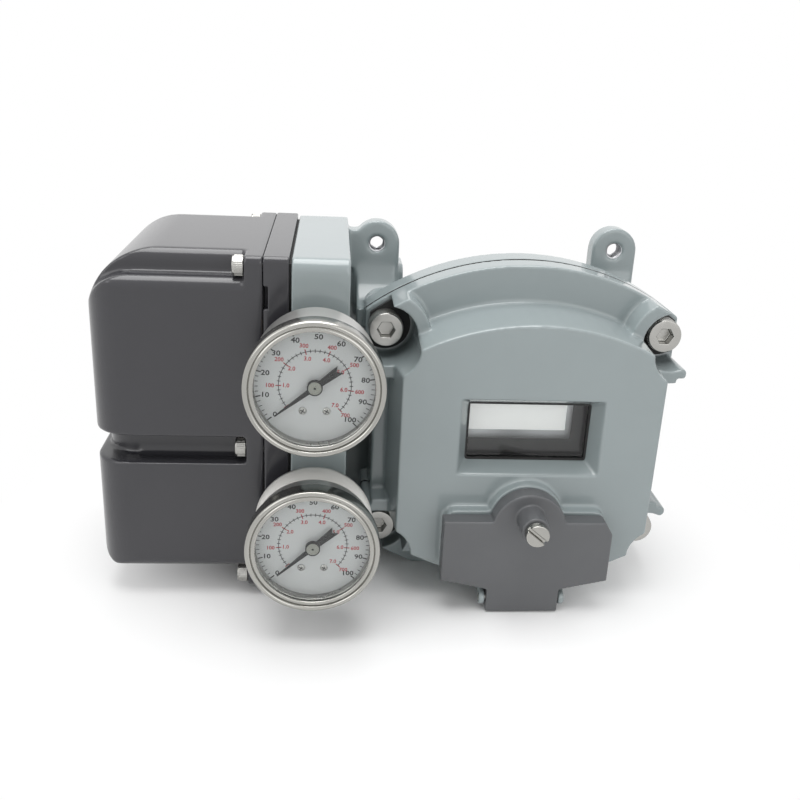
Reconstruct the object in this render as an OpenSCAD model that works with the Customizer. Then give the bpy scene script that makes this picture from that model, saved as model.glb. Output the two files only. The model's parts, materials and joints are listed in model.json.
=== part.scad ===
// Valve positioner: an air block with two gauges and a side cover, and a case with a display.
// Millimetres. X runs to the right, Y to the back and Z up.
// The origin is the centre of the four rear mounting holes, on the back face.

/* [Case] */
// Depth from the raised front face to the back face
case_depth = 90; // [84:1:110]
// Width of the case across its screw ears
case_w = 124; // [118:1:136]
// How far the screw ears stand out from the sides
ear_out = 3.6; // [2:0.1:5]
// Radius of the screw ears
screw_ear_r = 14; // [13:0.5:16]
// Radius of the round end of each ear
ear_tip_r = 2; // [1.5:0.1:2.5]
// Length of the case's rim behind the seam
rim_len = 12; // [10:0.5:16]
// How far the case's body stands in from its rim
body_inset = 12; // [9:0.5:13]
// Height of the top arc above the centre
case_top = 68; // [65:0.5:74]
// Radius of the top and bottom arcs
case_arc_r = 103.4; // [96:0.1:115]
// Height of the centre above the surface the part stands on
stand_h = 60; // [59:0.5:64]
// Side wall of the case
case_wall = 5; // [3:0.5:7]
// Back wall of the case
back_wall = 12; // [11:0.5:16]

/* [Front cover] */
// How far the raised front stands out from the flange
dome_h = 26; // [22:0.5:30]
// Width of the raised front at its face
dome_w = 98.4; // [94:0.1:104]
// Height of the raised front above the centre
dome_top = 52; // [49:0.5:55]
// Radius of the raised front's arcs
dome_arc_r = 95.4; // [88:0.1:105]
// Widening of the raised front's sides from face to foot
dome_draft = 3.4; // [0:0.1:5]
// Thickness of the cover's flange
flange_t = 11; // [9:0.5:14]
// Thickness of the wall behind the face
front_wall = 7; // [5:0.5:9]
// Side wall of the raised front
cover_wall = 5; // [3:0.5:7]
// Thickness of the gasket between cover and case
cover_gasket_t = 0.6; // [0.5:0.1:2]

/* [Cover screws] */
// Distance of a cover screw from the side of the case
screw_inset = 7.5; // [6.5:0.1:9]
// Height of the cover screws above and below the centre
screw_z = 42; // [40:0.5:45]
// Radius of the screw's shank
screw_r = 4; // [3:0.5:4]
// Radius of the screw's head
screw_head_r = 6.5; // [5:0.1:7]
// Height of the screw's head
screw_head_h = 8; // [5:0.5:9]
// Length of the thread that enters the case
screw_reach = 16; // [10:1:20]
// Radius of the recess round each screw
recess_r = 11.5; // [10:0.1:12.5]
// Outer radius of the wall round each recess
recess_wall_r = 16.5; // [14:0.1:18]
// Height of that wall above the flange
recess_wall_h = 11; // [6:0.5:16]
// Thickness of the flange left under each recess
recess_floor = 3.5; // [2:0.5:5]
// Thickness of the black washer in each recess
washer_t = 1.5; // [1:0.1:2.5]

/* [Window] */
// Width of the window opening at the face
window_w = 54.2; // [48:0.1:60]
// Height of the window opening at the face
window_h = 30.5; // [26:0.1:34]
// Height of the window's centre above the centre
window_z = 8.2; // [6:0.1:11]
// Narrowing of the opening on each side
window_bevel = 3.7; // [2:0.1:5]
// Thickness of the window seal
window_seal_t = 1; // [0.6:0.1:2]
// Thickness of the glass
glass_t = 4; // [3:0.5:6]
// Width of the ledge on which the seal and glass sit
glass_ledge = 3.5; // [2.5:0.1:5]

/* [Button cover] */
// Width of the button cover
flap_w = 64.5; // [58:0.5:70]
// Height of its top edge, measured down from the centre
flap_top = 21; // [20:0.5:23]
// Height of its lower shoulders above the surface the part stands on
shoulder_up = 14; // [13:0.5:16]
// Thickness of the button cover
flap_t = 6.9; // [5.5:0.1:8]
// How far the pad behind the button cover rises above its top edge
pad_rise = 1; // [0:0.5:5]
// Gap between the button cover and the face of the case
flap_standoff = 4.9; // [4.5:0.1:6]
// Wall of the hollow button cover
flap_wall = 2.4; // [1.6:0.1:3]
// Half width of its hinge tab
tab_half = 14; // [10:0.5:18]
// Height of the hinge axis above the surface the part stands on
hinge_up = 5; // [4.5:0.1:6]
// Radius of the hinge pin
hinge_pin_r = 1.5; // [1:0.1:1.8]
// Radius of the hinge knuckle
knuckle_r = 2.9; // [2.6:0.1:3.6]
// Radius of the round boss above the top edge
flap_boss_r = 14; // [12:0.5:15]
// Height of the boss's centre, measured down from the centre
flap_boss_drop = 23.6; // [22:0.1:25]
// Height of the cover's screw, measured down from the centre
flap_screw_drop = 19; // [17:0.5:20]
// Radius of the cover screw's head
flap_head_r = 4.3; // [3.5:0.1:5]
// Length of the cover screw's head
flap_head_h = 3.5; // [3:0.5:6]
// Length of the dark collar under that head
collar_h = 10.5; // [4:0.5:12]
// Radius of that collar
collar_r = 5.2; // [5:0.1:8]
// Radius of the cover screw's shank
flap_shank_r = 2; // [1.5:0.1:2.5]

/* [Buttons] */
// Radius of a button
button_r = 4.5; // [3.5:0.1:5.5]
// Distance between buttons
button_pitch = 18; // [15:0.5:20]
// Height of the buttons, measured down from the centre
button_drop = 34; // [32:0.5:36]
// Travel of a button
button_travel = 1.5; // [0.5:0.1:2]
// How far a button stands out of the face
button_proud = 3; // [2:0.1:3.6]

/* [Air block] */
// Gap between the case and the air block
block_gap = 7; // [5:0.5:9]
// Width of the air block
block_w = 20.5; // [18:0.5:26]
// Height of the block's top above the centre
block_top = 73.5; // [70:0.5:78]
// Rounding of the block's long edges
block_round = 4; // [2:0.5:6]
// Depth of the web that joins the block and the case
web_depth = 20; // [18:1:30]
// Distance of the gauges and ports from the block's left side
port_inset = 9; // [8.5:0.1:12]
// Height of the upper gauge and port above the centre
upper_port_z = 37.6; // [34:0.1:40]
// Height of the lower gauge and port, measured down from the centre
lower_port_drop = 22.3; // [20:0.1:25]
// Radius of the tapped air ports at the back
air_port_r = 5.7; // [5:0.1:6]
// Depth of the tapped air ports
air_port_depth = 16; // [12:1:20]
// Radius of the drilled air passages
passage_r = 2; // [1.5:0.1:3]

/* [Lugs and mounts] */
// Height of the two lug holes above the centre
lug_z = 66; // [64:0.5:68]
// Distance of the left lug hole from the middle of the case
lug_left_x = 57; // [54:0.5:60]
// Distance of the right lug hole from the middle of the case
lug_right_x = 43.6; // [40:0.1:48]
// Radius of a lug
lug_r = 9.4; // [8:0.1:11]
// Radius of the tapped lug hole
lug_hole_r = 3.4; // [2.5:0.1:4.2]
// Thickness of a lug
lug_t = 8.5; // [5:0.5:9]
// Distance of the lugs from the back face
lug_back = 13.5; // [12:0.5:17]
// Radius of the curved foot in front of each lug
lug_foot_r = 16; // [12:0.5:17]
// Distance between the rear mounting holes across
rear_pitch_x = 60; // [54:1:66]
// Distance between the rear mounting holes up and down
rear_pitch_z = 50; // [46:1:60]
// Radius of the tapped rear mounting holes
rear_hole_r = 2.5; // [2:0.1:3.4]
// Depth of the tapped rear mounting holes
rear_hole_depth = 10; // [6:0.5:10]
// Radius of the conduit entries
conduit_r = 9.2; // [8:0.1:10]
// Length of the plug in the lower conduit entry
plug_len = 14; // [12:0.5:16]
// Height of the conduit entries above and below the centre
conduit_z = 20; // [18:0.5:22]
// Distance of the conduit entries from the back face
conduit_y = 28; // [26:0.5:30]

/* [Gauges] */
// Outer radius of the gauge's bezel
bezel_r = 23.6; // [22.5:0.1:24.5]
// Length of the bezel
bezel_len = 7; // [5:0.5:9]
// Wall of the bezel in front of the lens
bezel_lip = 3.7; // [3:0.1:4.4]
// Radius of the gauge's case
gauge_case_r = 21.5; // [19:0.1:22]
// Wall of the gauge's case
gauge_case_wall = 0.8; // [0.5:0.1:1.5]
// Distance from the block to the back of the gauge's case
stem_len = 8; // [6:0.5:12]
// Length of the gauge from the case's back to the bezel's front
gauge_len = 25; // [22:0.5:30]
// Width of the hexagon on the stem
stem_hex = 14; // [12:0.5:15]
// Radius of the stem's thread
stem_thread_r = 4.8; // [4:0.1:5]
// Thickness of the lens
lens_t = 1.5; // [1:0.1:2.5]
// Depth of the dial below the bezel's front
dial_depth = 6.4; // [6:0.1:8]
// Length of the pointer from its axis to its tip
pointer_len = 16.8; // [12:0.1:18]
// Length of the pointer's tail
pointer_tail = 10.4; // [6:0.1:12]
// Angle of the upper pointer at rest, below the left horizontal
upper_rest = 38; // [30:1:60]
// Angle of the lower pointer at rest, below the left horizontal
lower_rest = 42; // [30:1:60]

/* [Air base and side cover] */
// Thickness of the gasket between block and base
base_gasket_t = 0.8; // [0.5:0.1:2]
// Thickness of the black base plate
base_t = 9; // [7:0.1:12]
// Height of the base's and cover's top above the centre
base_top = 74; // [71:0.5:78]
// Thickness of the side cover's flange
side_flange_t = 6.7; // [5:0.1:9]
// Length of the side cover beyond its flange
side_len = 55.7; // [50:0.1:64]
// Wall of the side cover
side_wall = 3; // [2:0.5:4]
// Rounding of the side cover's upright end edges
side_round = 13; // [8:0.5:16]
// Rounding of the side cover's top end edge
side_top_round = 25; // [16:0.5:28]
// Rounding of the side cover's end below its top channels
shoulder_round = 16; // [8:0.5:18]
// Depth of the screw channels along the side cover
channel_depth = 9; // [8.5:0.5:11]
// Height of the top channels
channel_h = 8; // [7.6:0.1:9]
// Half height of the middle channel
mid_channel_h = 5.2; // [4.6:0.1:7]
// Depth of the middle channel across the cover's end
groove_depth = 2.8; // [1:0.1:4]
// Height of the side cover's bottom above the surface the part stands on
side_bottom_up = 12; // [11.8:0.1:13]
// Height of the base's bottom above the surface the part stands on
base_up = 4; // [0:0.1:4]
// Rounding of the side cover's long edges
shoulder_edge_r = 4; // [3.5:0.1:4.5]
// Distance of the side cover's screws from its edges
side_screw_inset = 4; // [3.8:0.1:5]
// Height of the middle screw above the centre
mid_screw_z = 1.5; // [-2:0.5:5]
// Radius of the side cover's screws
side_screw_r = 2; // [1.5:0.1:2.2]
// Radius of their heads
side_head_r = 3.5; // [3:0.1:3.7]
// Height of their heads
side_head_h = 4; // [3:0.5:5]

/* [Inside] */
// Radius of the current to pressure converter
converter_r = 17; // [14:0.5:19]
// Length of the converter
converter_len = 38; // [30:1:42]
// Height of the converter above the centre
converter_z = 36; // [34:0.5:40]
// Width and height of the relay
relay_size = 44; // [38:1:48]
// Length of the relay
relay_len = 26; // [20:1:32]
// Height of the relay, measured down from the centre
relay_drop = 14; // [10:0.5:18]
// Radius of the relay's plunger
plunger_r = 3; // [2:0.1:4]
// Travel of the relay's plunger
plunger_travel = 1.5; // [0.5:0.1:2]
// Depth of the electronics module
module_depth = 30; // [26:1:36]
// Clearance of the electronics module from the case's side walls
module_side_gap = 3.4; // [1:0.1:10]
// Clearance of the terminals above the case's inner floor
terminal_floor_gap = 4.7; // [1:0.1:6]
// Height of the electronics module
module_h = 62; // [50:1:66]
// Distance of the display behind the glass
display_gap = 3; // [1.5:0.5:6]

/* [Hidden] */
$fn = 96;

// Clearances and overlaps
cut = 0.5;             // overrun of a cut past a face
slip = 0.05;           // radial clearance of a shaft or screw in its hole
gap = 0.3;             // clearance between pieces that move past each other
clear_hole = 0.4;      // radial clearance of a screw in a cover

// Colours
paint_grey = [0.60, 0.64, 0.65];
charcoal = [0.20, 0.20, 0.22];
dark_grey = [0.32, 0.33, 0.34];
black = [0.06, 0.06, 0.06];
steel = [0.78, 0.78, 0.80];
brass = [0.75, 0.60, 0.30];
dial_white = [0.90, 0.91, 0.89];
board_green = [0.10, 0.35, 0.20];

// Case and cover planes, from the front to the back
face_y = -case_depth;
flange_y0 = face_y + dome_h;
flange_y1 = flange_y0 + flange_t;
seam_y = flange_y1 + cover_gasket_t;
floor_y = -back_wall;
half_w = case_w / 2;
side_half = half_w - ear_out;
body_half = side_half - body_inset;
rim_y = seam_y + rim_len;
screw_x = half_w - screw_inset;
recess_y = flange_y1 - recess_floor;
seat_y = recess_y - washer_t;
recess_wall_low = -screw_z - screw_head_r - cut;
inner_boss_r = recess_r + 2.5;
washer_r = recess_r - 1.7;
washer_in = 1.6;
ear_tip_x = half_w - ear_tip_r;
ear_tip_dx = screw_inset - ear_tip_r;
ear_tip_out = recess_r + ear_tip_r;
ear_tip_z = screw_z - sqrt(ear_tip_out * ear_tip_out - ear_tip_dx * ear_tip_dx);
ear_mouth_x = screw_x + ear_tip_dx * recess_r / ear_tip_out;
case_boss_r = screw_r + 4.5;
case_boss_len = screw_reach + 4;
gasket_w = case_wall - 0.5;

// Window and display planes
window_in_w = window_w - 2 * window_bevel;
window_in_h = window_h - 2 * window_bevel;
glass_w = window_in_w + 2 * glass_ledge;
glass_h = window_in_h + 2 * glass_ledge;
seal_lip = 0.6;
seal_y = face_y + front_wall;
glass_y = seal_y + window_seal_t;
retainer_y = glass_y + glass_t;
retainer_t = 2;
display_y = retainer_y + retainer_t + display_gap;
display_t = 4;
board_t = 1.6;

// Button cover, its hinge and its screw
flap_back_y = face_y - flap_standoff;
flap_front_y = flap_back_y - flap_t;
hinge_y = (flap_front_y + flap_back_y) / 2;
hinge_z = -stand_h + hinge_up;
flap_shoulder = stand_h - shoulder_up;
tab_top_drop = flap_shoulder + 4;
ear_w = 2.4;
ear_x = tab_half + 0.4;
ear_foot_h = 8;
pad_y = flap_back_y + gap;
pad_inset = 1.5;
pad_round = 4;
pad_boss_r = flap_boss_r + 0.6;
pocket_wall = 3;
flap_screw_z = -flap_screw_drop;
collar_y = flap_front_y - collar_h;
flap_head_y = collar_y - gap - flap_head_h;
shank_tip_y = face_y - 0.8;
socket_mouth_r = flap_shank_r + 1.2;
socket_depth = face_y - pad_y + 1;
slot_w = 1.3;
slot_depth = 1.6;
slot_turn = 40;
tab_foot_z = -stand_h + gap;

// Buttons
button_z = -button_drop;
button_flange_r = button_r + 1.5;
button_flange_t = 1.6;
button_flange_y = face_y + front_wall + gap;
switch_y = button_flange_y + button_flange_t + button_travel + gap;
switch_h = 2.4;
button_board_y = switch_y + switch_h;
post_r = 2.5;

// Air block, base and side cover, from right to left
block_x1 = -half_w - block_gap;
block_x0 = block_x1 - block_w;
port_x = block_x0 + port_inset;
port_zs = [upper_port_z, -lower_port_drop];
base_x1 = block_x0 - base_gasket_t;
base_x0 = base_x1 - base_t;
side_x1 = base_x0 - side_flange_t;
side_x0 = side_x1 - side_len;
passage_y = -air_port_depth / 2;
side_mid_y = -case_depth / 2;
base_low_z = -stand_h + base_up;
side_seal_depth = 1.5;
side_seal_w = 2;
side_screws = [
    [face_y + side_screw_inset, base_top - side_screw_inset],
    [face_y + side_screw_inset, mid_screw_z],
    [face_y + side_screw_inset, base_low_z + side_screw_inset],
    [-side_screw_inset, base_top - side_screw_inset],
    [-side_screw_inset, base_low_z + side_screw_inset]
];
base_screw_r = 2.5;
base_screw_head_r = 4.5;
base_screw_head_h = 3;
base_screw_in = 19;
base_screw_down = 17;
base_screw_up = 22;
base_screws_at = [
    for (y = [face_y + base_screw_in, -base_screw_in])
        for (z = [base_top - base_screw_down, -stand_h + base_screw_up]) [y, z]
];

pry_slot_w = 1.6;
pry_slot_depth = 3;
pry_slot_down = 10.4;
pry_slot_h = 8.1;

// Lugs
lug_y0 = -lug_back - lug_t;
lug_y1 = -lug_back;
lug_neck = 26;
lug_foot_top = lug_z - lug_r + 2.4;
lug_foot_low = lug_z - lug_neck - 4;
lug_foot_half = lug_r - 1.2;

// Gauges
gauge_back_y = face_y - stem_len;
gauge_front_y = gauge_back_y - gauge_len;
lens_y = gauge_front_y + 1.5;
dial_y = gauge_front_y + dial_depth;
dial_t = 0.8;
lens_r = gauge_case_r - gauge_case_wall - 0.1;
pointer_y = (lens_y + lens_t + dial_y) / 2;
pointer_t = 0.6;
spindle_r = 0.8;
bush_y = dial_y + dial_t + 1.2;
tube_y = gauge_back_y - 7;
tube_r = 1.8;
tube_ring_r = 13;
socket_half = 4;

// Conduit bosses and the sensor pocket at the back
pocket_r = 18;
pocket_depth = 7;
conduit_boss_r = conduit_r + 4;
conduit_in_x = body_half - case_wall;

// Electronics module, its posts and its terminals
inside_half = body_half - case_wall;
inside_low_z = -stand_h + body_inset + case_wall;
module_w = 2 * (inside_half - module_side_gap);
module_foot = 3;
module_post_r = 3.5;
module_post_in = 7;
module_y0 = floor_y - module_foot - module_depth;
sensor_board_r = 14;
terminal_end = 20;
terminal_w = module_w - terminal_end;
terminal_h = 11;
terminal_depth = 18;
terminal_pitch = (terminal_w - terminal_h) / 6;
terminal_hole_r = 2.2;
terminal_hole_depth = 10;
terminal_z = inside_low_z + terminal_floor_gap + terminal_h / 2;
module_rise = terminal_z + terminal_h / 2 + gap + module_h / 2;

// Solids drawn along one axis

// Extrudes an outline drawn in X and Z from y0 to y1
module along_y(y0, y1) {
    translate([0, y1, 0]) rotate([90, 0, 0]) linear_extrude(y1 - y0) children();
}

// Extrudes an outline drawn in Y and Z from x0 to x1
module along_x(x0, x1) {
    translate([x0, 0, 0]) rotate([90, 0, 90]) linear_extrude(x1 - x0) children();
}

// Extrudes an outline drawn in X and Y from z0 to z1
module along_z(z0, z1) {
    translate([0, 0, z0]) linear_extrude(z1 - z0) children();
}

// Round bar along Y, with its own radius at each end
module bar_y(x, z, y0, y1, r_front, r_back = undef) {
    r_end = is_undef(r_back) ? r_front : r_back;
    translate([x, y1, z]) rotate([90, 0, 0]) cylinder(h = y1 - y0, r1 = r_end, r2 = r_front);
}

// Round bar along X
module bar_x(y, z, x0, x1, r) {
    translate([x0, y, z]) rotate([0, 90, 0]) cylinder(h = x1 - x0, r = r);
}

// Rectangle between two corners
module frame_box(a0, a1, b0, b1) {
    translate([a0, b0]) square([a1 - a0, b1 - b0]);
}

// Rectangle between two corners, with round corners
module soft_box(a0, a1, b0, b1, r) {
    frame_box(a0 + r, a1 - r, b0, b1);
    frame_box(a0, a1, b0 + r, b1 - r);
    for (a = [a0 + r, a1 - r], b = [b0 + r, b1 - r]) {
        translate([a, b]) circle(r = r);
    }
}

// Puts children at the four cover screws
module at_cover_screws() {
    for (sx = [-1, 1], sz = [-1, 1]) {
        translate([sx * screw_x, 0, sz * screw_z]) children();
    }
}

// Outline of the case, cut flat where the part stands
module case_outline(inset = 0) {
    intersection() {
        translate([0, case_top - case_arc_r]) circle(r = case_arc_r - inset);
        translate([0, case_arc_r - case_top]) circle(r = case_arc_r - inset);
        frame_box(-side_half + inset, side_half - inset, -stand_h + inset, case_top);
    }
}

// Space between the top and bottom arcs across the ears, drawn in by inset
module ear_space(inset = 0) {
    intersection() {
        translate([0, case_top - case_arc_r]) circle(r = case_arc_r - inset);
        translate([0, case_arc_r - case_top]) circle(r = case_arc_r - inset);
        frame_box(-half_w + inset, half_w - inset, -stand_h + inset, case_top);
    }
}

// Round ends of the ears, on the side towards the middle
module ear_tips() {
    for (sx = [-1, 1], sz = [-1, 1]) {
        translate([sx * ear_tip_x, sz * ear_tip_z]) circle(r = ear_tip_r);
    }
}

// Outline of the flange and the rim, with an ear round each screw
module rim_outline() {
    case_outline();
    ear_tips();
    intersection() {
        ear_space();
        for (sx = [-1, 1], sz = [-1, 1]) {
            translate([sx * screw_x, sz * screw_z]) circle(r = screw_ear_r);
        }
    }
}

// Raised front of the cover between two planes, drawn in from its outside by inset
module dome(inset, y0, y1) {
    slope = dome_draft / dome_h;
    grow0 = (y0 - face_y) * slope - inset;
    grow1 = (y1 - face_y) * slope - inset;
    arc_z = dome_arc_r - dome_top;
    intersection() {
        bar_y(0, -arc_z, y0, y1, dome_arc_r + grow0 / 2 - inset / 2, dome_arc_r + grow1 / 2 - inset / 2);
        bar_y(0, arc_z, y0, y1, dome_arc_r + grow0 / 2 - inset / 2, dome_arc_r + grow1 / 2 - inset / 2);
        along_z(-dome_arc_r, dome_arc_r) polygon([
            [-dome_w / 2 - grow0, y0], [dome_w / 2 + grow0, y0],
            [dome_w / 2 + grow1, y1], [-dome_w / 2 - grow1, y1]
        ]);
    }
}

// Opening of the window, narrowing from the face to the seal
module window_opening() {
    slope = window_bevel / front_wall;
    y0 = face_y - cut;
    y1 = face_y + front_wall + cut;
    grow0 = cut * slope;
    grow1 = -(front_wall + cut) * slope;
    intersection() {
        along_z(-case_top, case_top) polygon([
            [-window_w / 2 - grow0, y0], [window_w / 2 + grow0, y0],
            [window_w / 2 + grow1, y1], [-window_w / 2 - grow1, y1]
        ]);
        along_x(-half_w, half_w) polygon([
            [y0, window_z - window_h / 2 - grow0], [y0, window_z + window_h / 2 + grow0],
            [y1, window_z + window_h / 2 + grow1], [y1, window_z - window_h / 2 - grow1]
        ]);
    }
}

// Rectangle centred on the window
module window_box(w, h) {
    translate([0, window_z]) square([w, h], center = true);
}

// Outline of the button cover with its round boss and hinge tab
module flap_outline(inset = 0) {
    half = flap_w / 2 - inset;
    polygon([
        [-half, -flap_top - inset], [half - 3, -flap_top - inset], [half, -flap_top - inset - 5],
        [half, -flap_shoulder + inset], [tab_half - inset, -tab_top_drop + inset],
        [tab_half - inset, tab_foot_z], [-tab_half + inset, tab_foot_z],
        [-tab_half + inset, -tab_top_drop + inset], [-half, -flap_shoulder + inset]
    ]);
    translate([0, -flap_boss_drop]) circle(r = flap_boss_r - inset);
}

// Raised pad behind the button cover, with a pocket for the buttons
module button_pad() {
    half = flap_w / 2 - pad_inset;
    low = -flap_shoulder + pad_inset;
    along_y(pad_y, face_y + cut) {
        difference() {
            union() {
                soft_box(-half, half, low, -flap_top + pad_rise, pad_round);
                translate([0, -flap_boss_drop]) circle(r = pad_boss_r);
            }
            soft_box(
                -half + pocket_wall, half - pocket_wall,
                low + pocket_wall, -button_drop + button_flange_r + 1, 2
            );
        }
    }
}

// One hinge ear below the face, from x0 to x1
module hinge_ear(x0, x1) {
    foot_z = -flap_shoulder + ear_foot_h / 2;
    along_x(x0, x1) {
        translate([hinge_y, hinge_z]) circle(r = knuckle_r);
        polygon([
            [hinge_y, hinge_z - knuckle_r], [face_y + cut, hinge_z + knuckle_r],
            [face_y + cut, foot_z], [pad_y + gap, foot_z], [pad_y + gap, hinge_z + knuckle_r + 2],
            [hinge_y, hinge_z + knuckle_r]
        ]);
    }
}

// Case with its air block, web and lugs, cast in one piece
module housing() {
    boss_y = seam_y + case_boss_len;
    color(paint_grey) difference() {
        union() {
            along_y(seam_y, rim_y) rim_outline();
            along_y(rim_y - 1, 0) case_outline(body_inset);
            intersection() {
                at_cover_screws() bar_y(0, 0, seam_y, boss_y, case_boss_r);
                along_y(seam_y, boss_y) rim_outline();
            }
            for (s = [-1, 1]) {
                bar_x(-conduit_y, s * conduit_z, body_half - 1, half_w, conduit_boss_r);
            }
            along_x(block_x0, block_x1) soft_box(face_y, 0, -stand_h, block_top, block_round);
            along_x(block_x1 - 1, -body_half + 1) {
                soft_box(-web_depth, 0, -stand_h, lug_z - lug_r, block_round);
            }
            lug(-lug_left_x);
            lug(lug_right_x);
            along_y(lug_y0, lug_y1) {
                frame_box(block_x1 - 1, -lug_left_x, lug_z - lug_r - 1, lug_z + lug_r - 4);
            }
        }
        difference() {
            union() {
                along_y(seam_y - cut, rim_y - case_wall) case_outline(case_wall);
                along_y(rim_y - case_wall - cut, floor_y) case_outline(body_inset + case_wall);
            }
            at_cover_screws() bar_y(0, 0, seam_y - 2 * cut, boss_y, case_boss_r);
        }
        at_cover_screws() bar_y(0, 0, seam_y - cut, seam_y + screw_reach + 1, screw_r + slip);
        for (s = [-1, 1]) {
            bar_x(-conduit_y, s * conduit_z, conduit_in_x - 1, half_w + cut, conduit_r);
        }
        for (x = [-lug_left_x, lug_right_x]) {
            bar_y(x, lug_z, lug_y0 - cut, lug_y1 + cut, lug_hole_r);
        }
        for (sx = [-1, 1], sz = [-1, 1]) {
            bar_y(sx * rear_pitch_x / 2, sz * rear_pitch_z / 2, -rear_hole_depth, cut, rear_hole_r);
        }
        bar_y(0, 0, -pocket_depth, cut, pocket_r);
        for (z = port_zs) {
            bar_y(port_x, z, -air_port_depth, cut, air_port_r);
            bar_y(port_x, z, face_y - cut, face_y + stem_len + 2, stem_thread_r + slip);
            bar_y(port_x, z, face_y, -air_port_depth + cut, passage_r);
            bar_x(passage_y, z, block_x0 - cut, port_x, passage_r);
        }
    }
}

// Lug with its neck down to the case and its curved foot
module lug(x) {
    bar_y(x, lug_z, lug_y0, lug_y1, lug_r);
    along_y(lug_y0, lug_y1) frame_box(x - lug_r, x + lug_r, lug_z - lug_neck, lug_z);
    along_x(x - lug_foot_half, x + lug_foot_half) difference() {
        frame_box(rim_y - 1, lug_y0 + 1, lug_foot_low, lug_foot_top);
        translate([lug_y0 - lug_foot_r, lug_foot_top]) circle(r = lug_foot_r);
    }
}

// Front cover with its raised face, screw recesses, window and hinge ears
module front_cover() {
    color(paint_grey) difference() {
        union() {
            along_y(flange_y0, flange_y1) rim_outline();
            dome(0, face_y, flange_y0 + cut);
            intersection() {
                at_cover_screws() bar_y(0, 0, flange_y0 - recess_wall_h, flange_y1, recess_wall_r);
                along_y(face_y, flange_y1) rim_outline();
                along_y(face_y, flange_y1) frame_box(-half_w, half_w, recess_wall_low, case_top);
            }
            button_pad();
            hinge_ear(ear_x, ear_x + ear_w);
            hinge_ear(-ear_x - ear_w, -ear_x);
        }
        difference() {
            dome(cover_wall, face_y + front_wall, flange_y1 + cut);
            at_cover_screws() bar_y(0, 0, face_y, flange_y1 + 2 * cut, inner_boss_r);
            for (s = [-1, 1]) {
                bar_y(s * button_pitch / 2, button_z, face_y, button_board_y, post_r);
            }
        }
        at_cover_screws() {
            bar_y(0, 0, pad_y, recess_y, recess_r);
            bar_y(0, 0, face_y, flange_y1 + cut, screw_r + clear_hole);
        }
        along_y(pad_y, recess_y) difference() {
            for (sx = [-1, 1], sz = [-1, 1]) {
                scale([sx, sz]) frame_box(ear_mouth_x, half_w + cut, ear_tip_z, screw_z);
            }
            ear_tips();
        }
        window_opening();
        for (s = [-1, 0, 1]) {
            bar_y(s * button_pitch, button_z, pad_y - cut, button_flange_y, button_r + slip);
        }
        bar_y(0, flap_screw_z, pad_y - 0.01, pad_y + socket_depth, socket_mouth_r, flap_shank_r + gap);
        bar_x(hinge_y, hinge_z, -ear_x - ear_w - cut, ear_x + ear_w + cut, hinge_pin_r + slip / 2);
    }
}

// Gasket in the seam between cover and case
module cover_gasket() {
    color(black) difference() {
        union() {
            along_y(flange_y1, seam_y) difference() {
                rim_outline();
                case_outline(gasket_w);
            }
            intersection() {
                at_cover_screws() bar_y(0, 0, flange_y1, seam_y, case_boss_r);
                along_y(flange_y1, seam_y) rim_outline();
            }
        }
        at_cover_screws() bar_y(0, 0, flange_y1 - cut, seam_y + cut, screw_r + clear_hole);
    }
}

// Socket screws that hold the front cover
module cover_screws() {
    key_r = 3.4;
    color(steel) at_cover_screws() difference() {
        union() {
            bar_y(0, 0, seat_y - screw_head_h, seat_y, screw_head_r);
            bar_y(0, 0, seat_y - cut, seam_y + screw_reach, screw_r);
        }
        translate([0, seat_y - screw_head_h / 2, 0]) rotate([90, 0, 0]) {
            cylinder(h = screw_head_h, r = key_r, $fn = 6);
        }
    }
}

// Black washers on the floors of the screw recesses
module cover_screw_washers() {
    color(black) intersection() {
        at_cover_screws() difference() {
            bar_y(0, 0, seat_y, recess_y, washer_r);
            bar_y(0, 0, seat_y - cut, recess_y + cut, screw_r + slip);
        }
        along_y(seat_y - cut, recess_y + cut) ear_space(washer_in);
    }
}

// Seal between the cover's wall and the glass
module window_seal() {
    color(black) along_y(seal_y, glass_y) difference() {
        window_box(glass_w, glass_h);
        window_box(window_in_w - 2 * seal_lip, window_in_h - 2 * seal_lip);
    }
}

// Window glass
module window_glass() {
    color([0.75, 0.80, 0.82, 0.4]) along_y(glass_y, retainer_y) window_box(glass_w, glass_h);
}

// Frame that holds the glass against the cover's wall, with its legs
module window_retainer() {
    leg = 2.5;
    color(dark_grey) {
        along_y(retainer_y, retainer_y + retainer_t) difference() {
            window_box(glass_w + 2 * leg + 2 * gap, glass_h);
            window_box(window_in_w, window_in_h);
        }
        along_y(seal_y, retainer_y + retainer_t) difference() {
            window_box(glass_w + 2 * leg + 2 * gap, glass_h);
            window_box(glass_w + 2 * gap, glass_h + 2 * cut);
        }
    }
}

// Display behind the window
module display_panel() {
    color([0.30, 0.33, 0.30]) along_y(display_y, display_y + display_t) {
        window_box(window_in_w + 4, window_in_h + 4);
    }
}

// Board that carries the display, on its own posts
module display_board() {
    board_y = display_y + display_t;
    color(board_green) {
        along_y(board_y, board_y + board_t) window_box(glass_w + 8, glass_h + 8);
        for (sx = [-1, 1], sz = [-1, 1]) {
            x = sx * (glass_w / 2 + 1);
            z = window_z + sz * (glass_h / 2 + 1);
            bar_y(x, z, board_y + board_t - 0.01, module_y0, post_r);
        }
    }
}

// Potted electronics module
module electronics_module() {
    half_h = module_h / 2;
    color(dark_grey) along_y(module_y0, floor_y - module_foot) {
        soft_box(-module_w / 2, module_w / 2, module_rise - half_h, module_rise + half_h, 5);
    }
}

// Posts that hold the module off the back wall
module module_posts() {
    color(brass) for (sx = [-1, 1], sz = [-1, 1]) {
        x = sx * (module_w / 2 - module_post_in);
        z = module_rise + sz * (module_h / 2 - module_post_in);
        bar_y(x, z, floor_y - module_foot, floor_y, module_post_r);
    }
}

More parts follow.
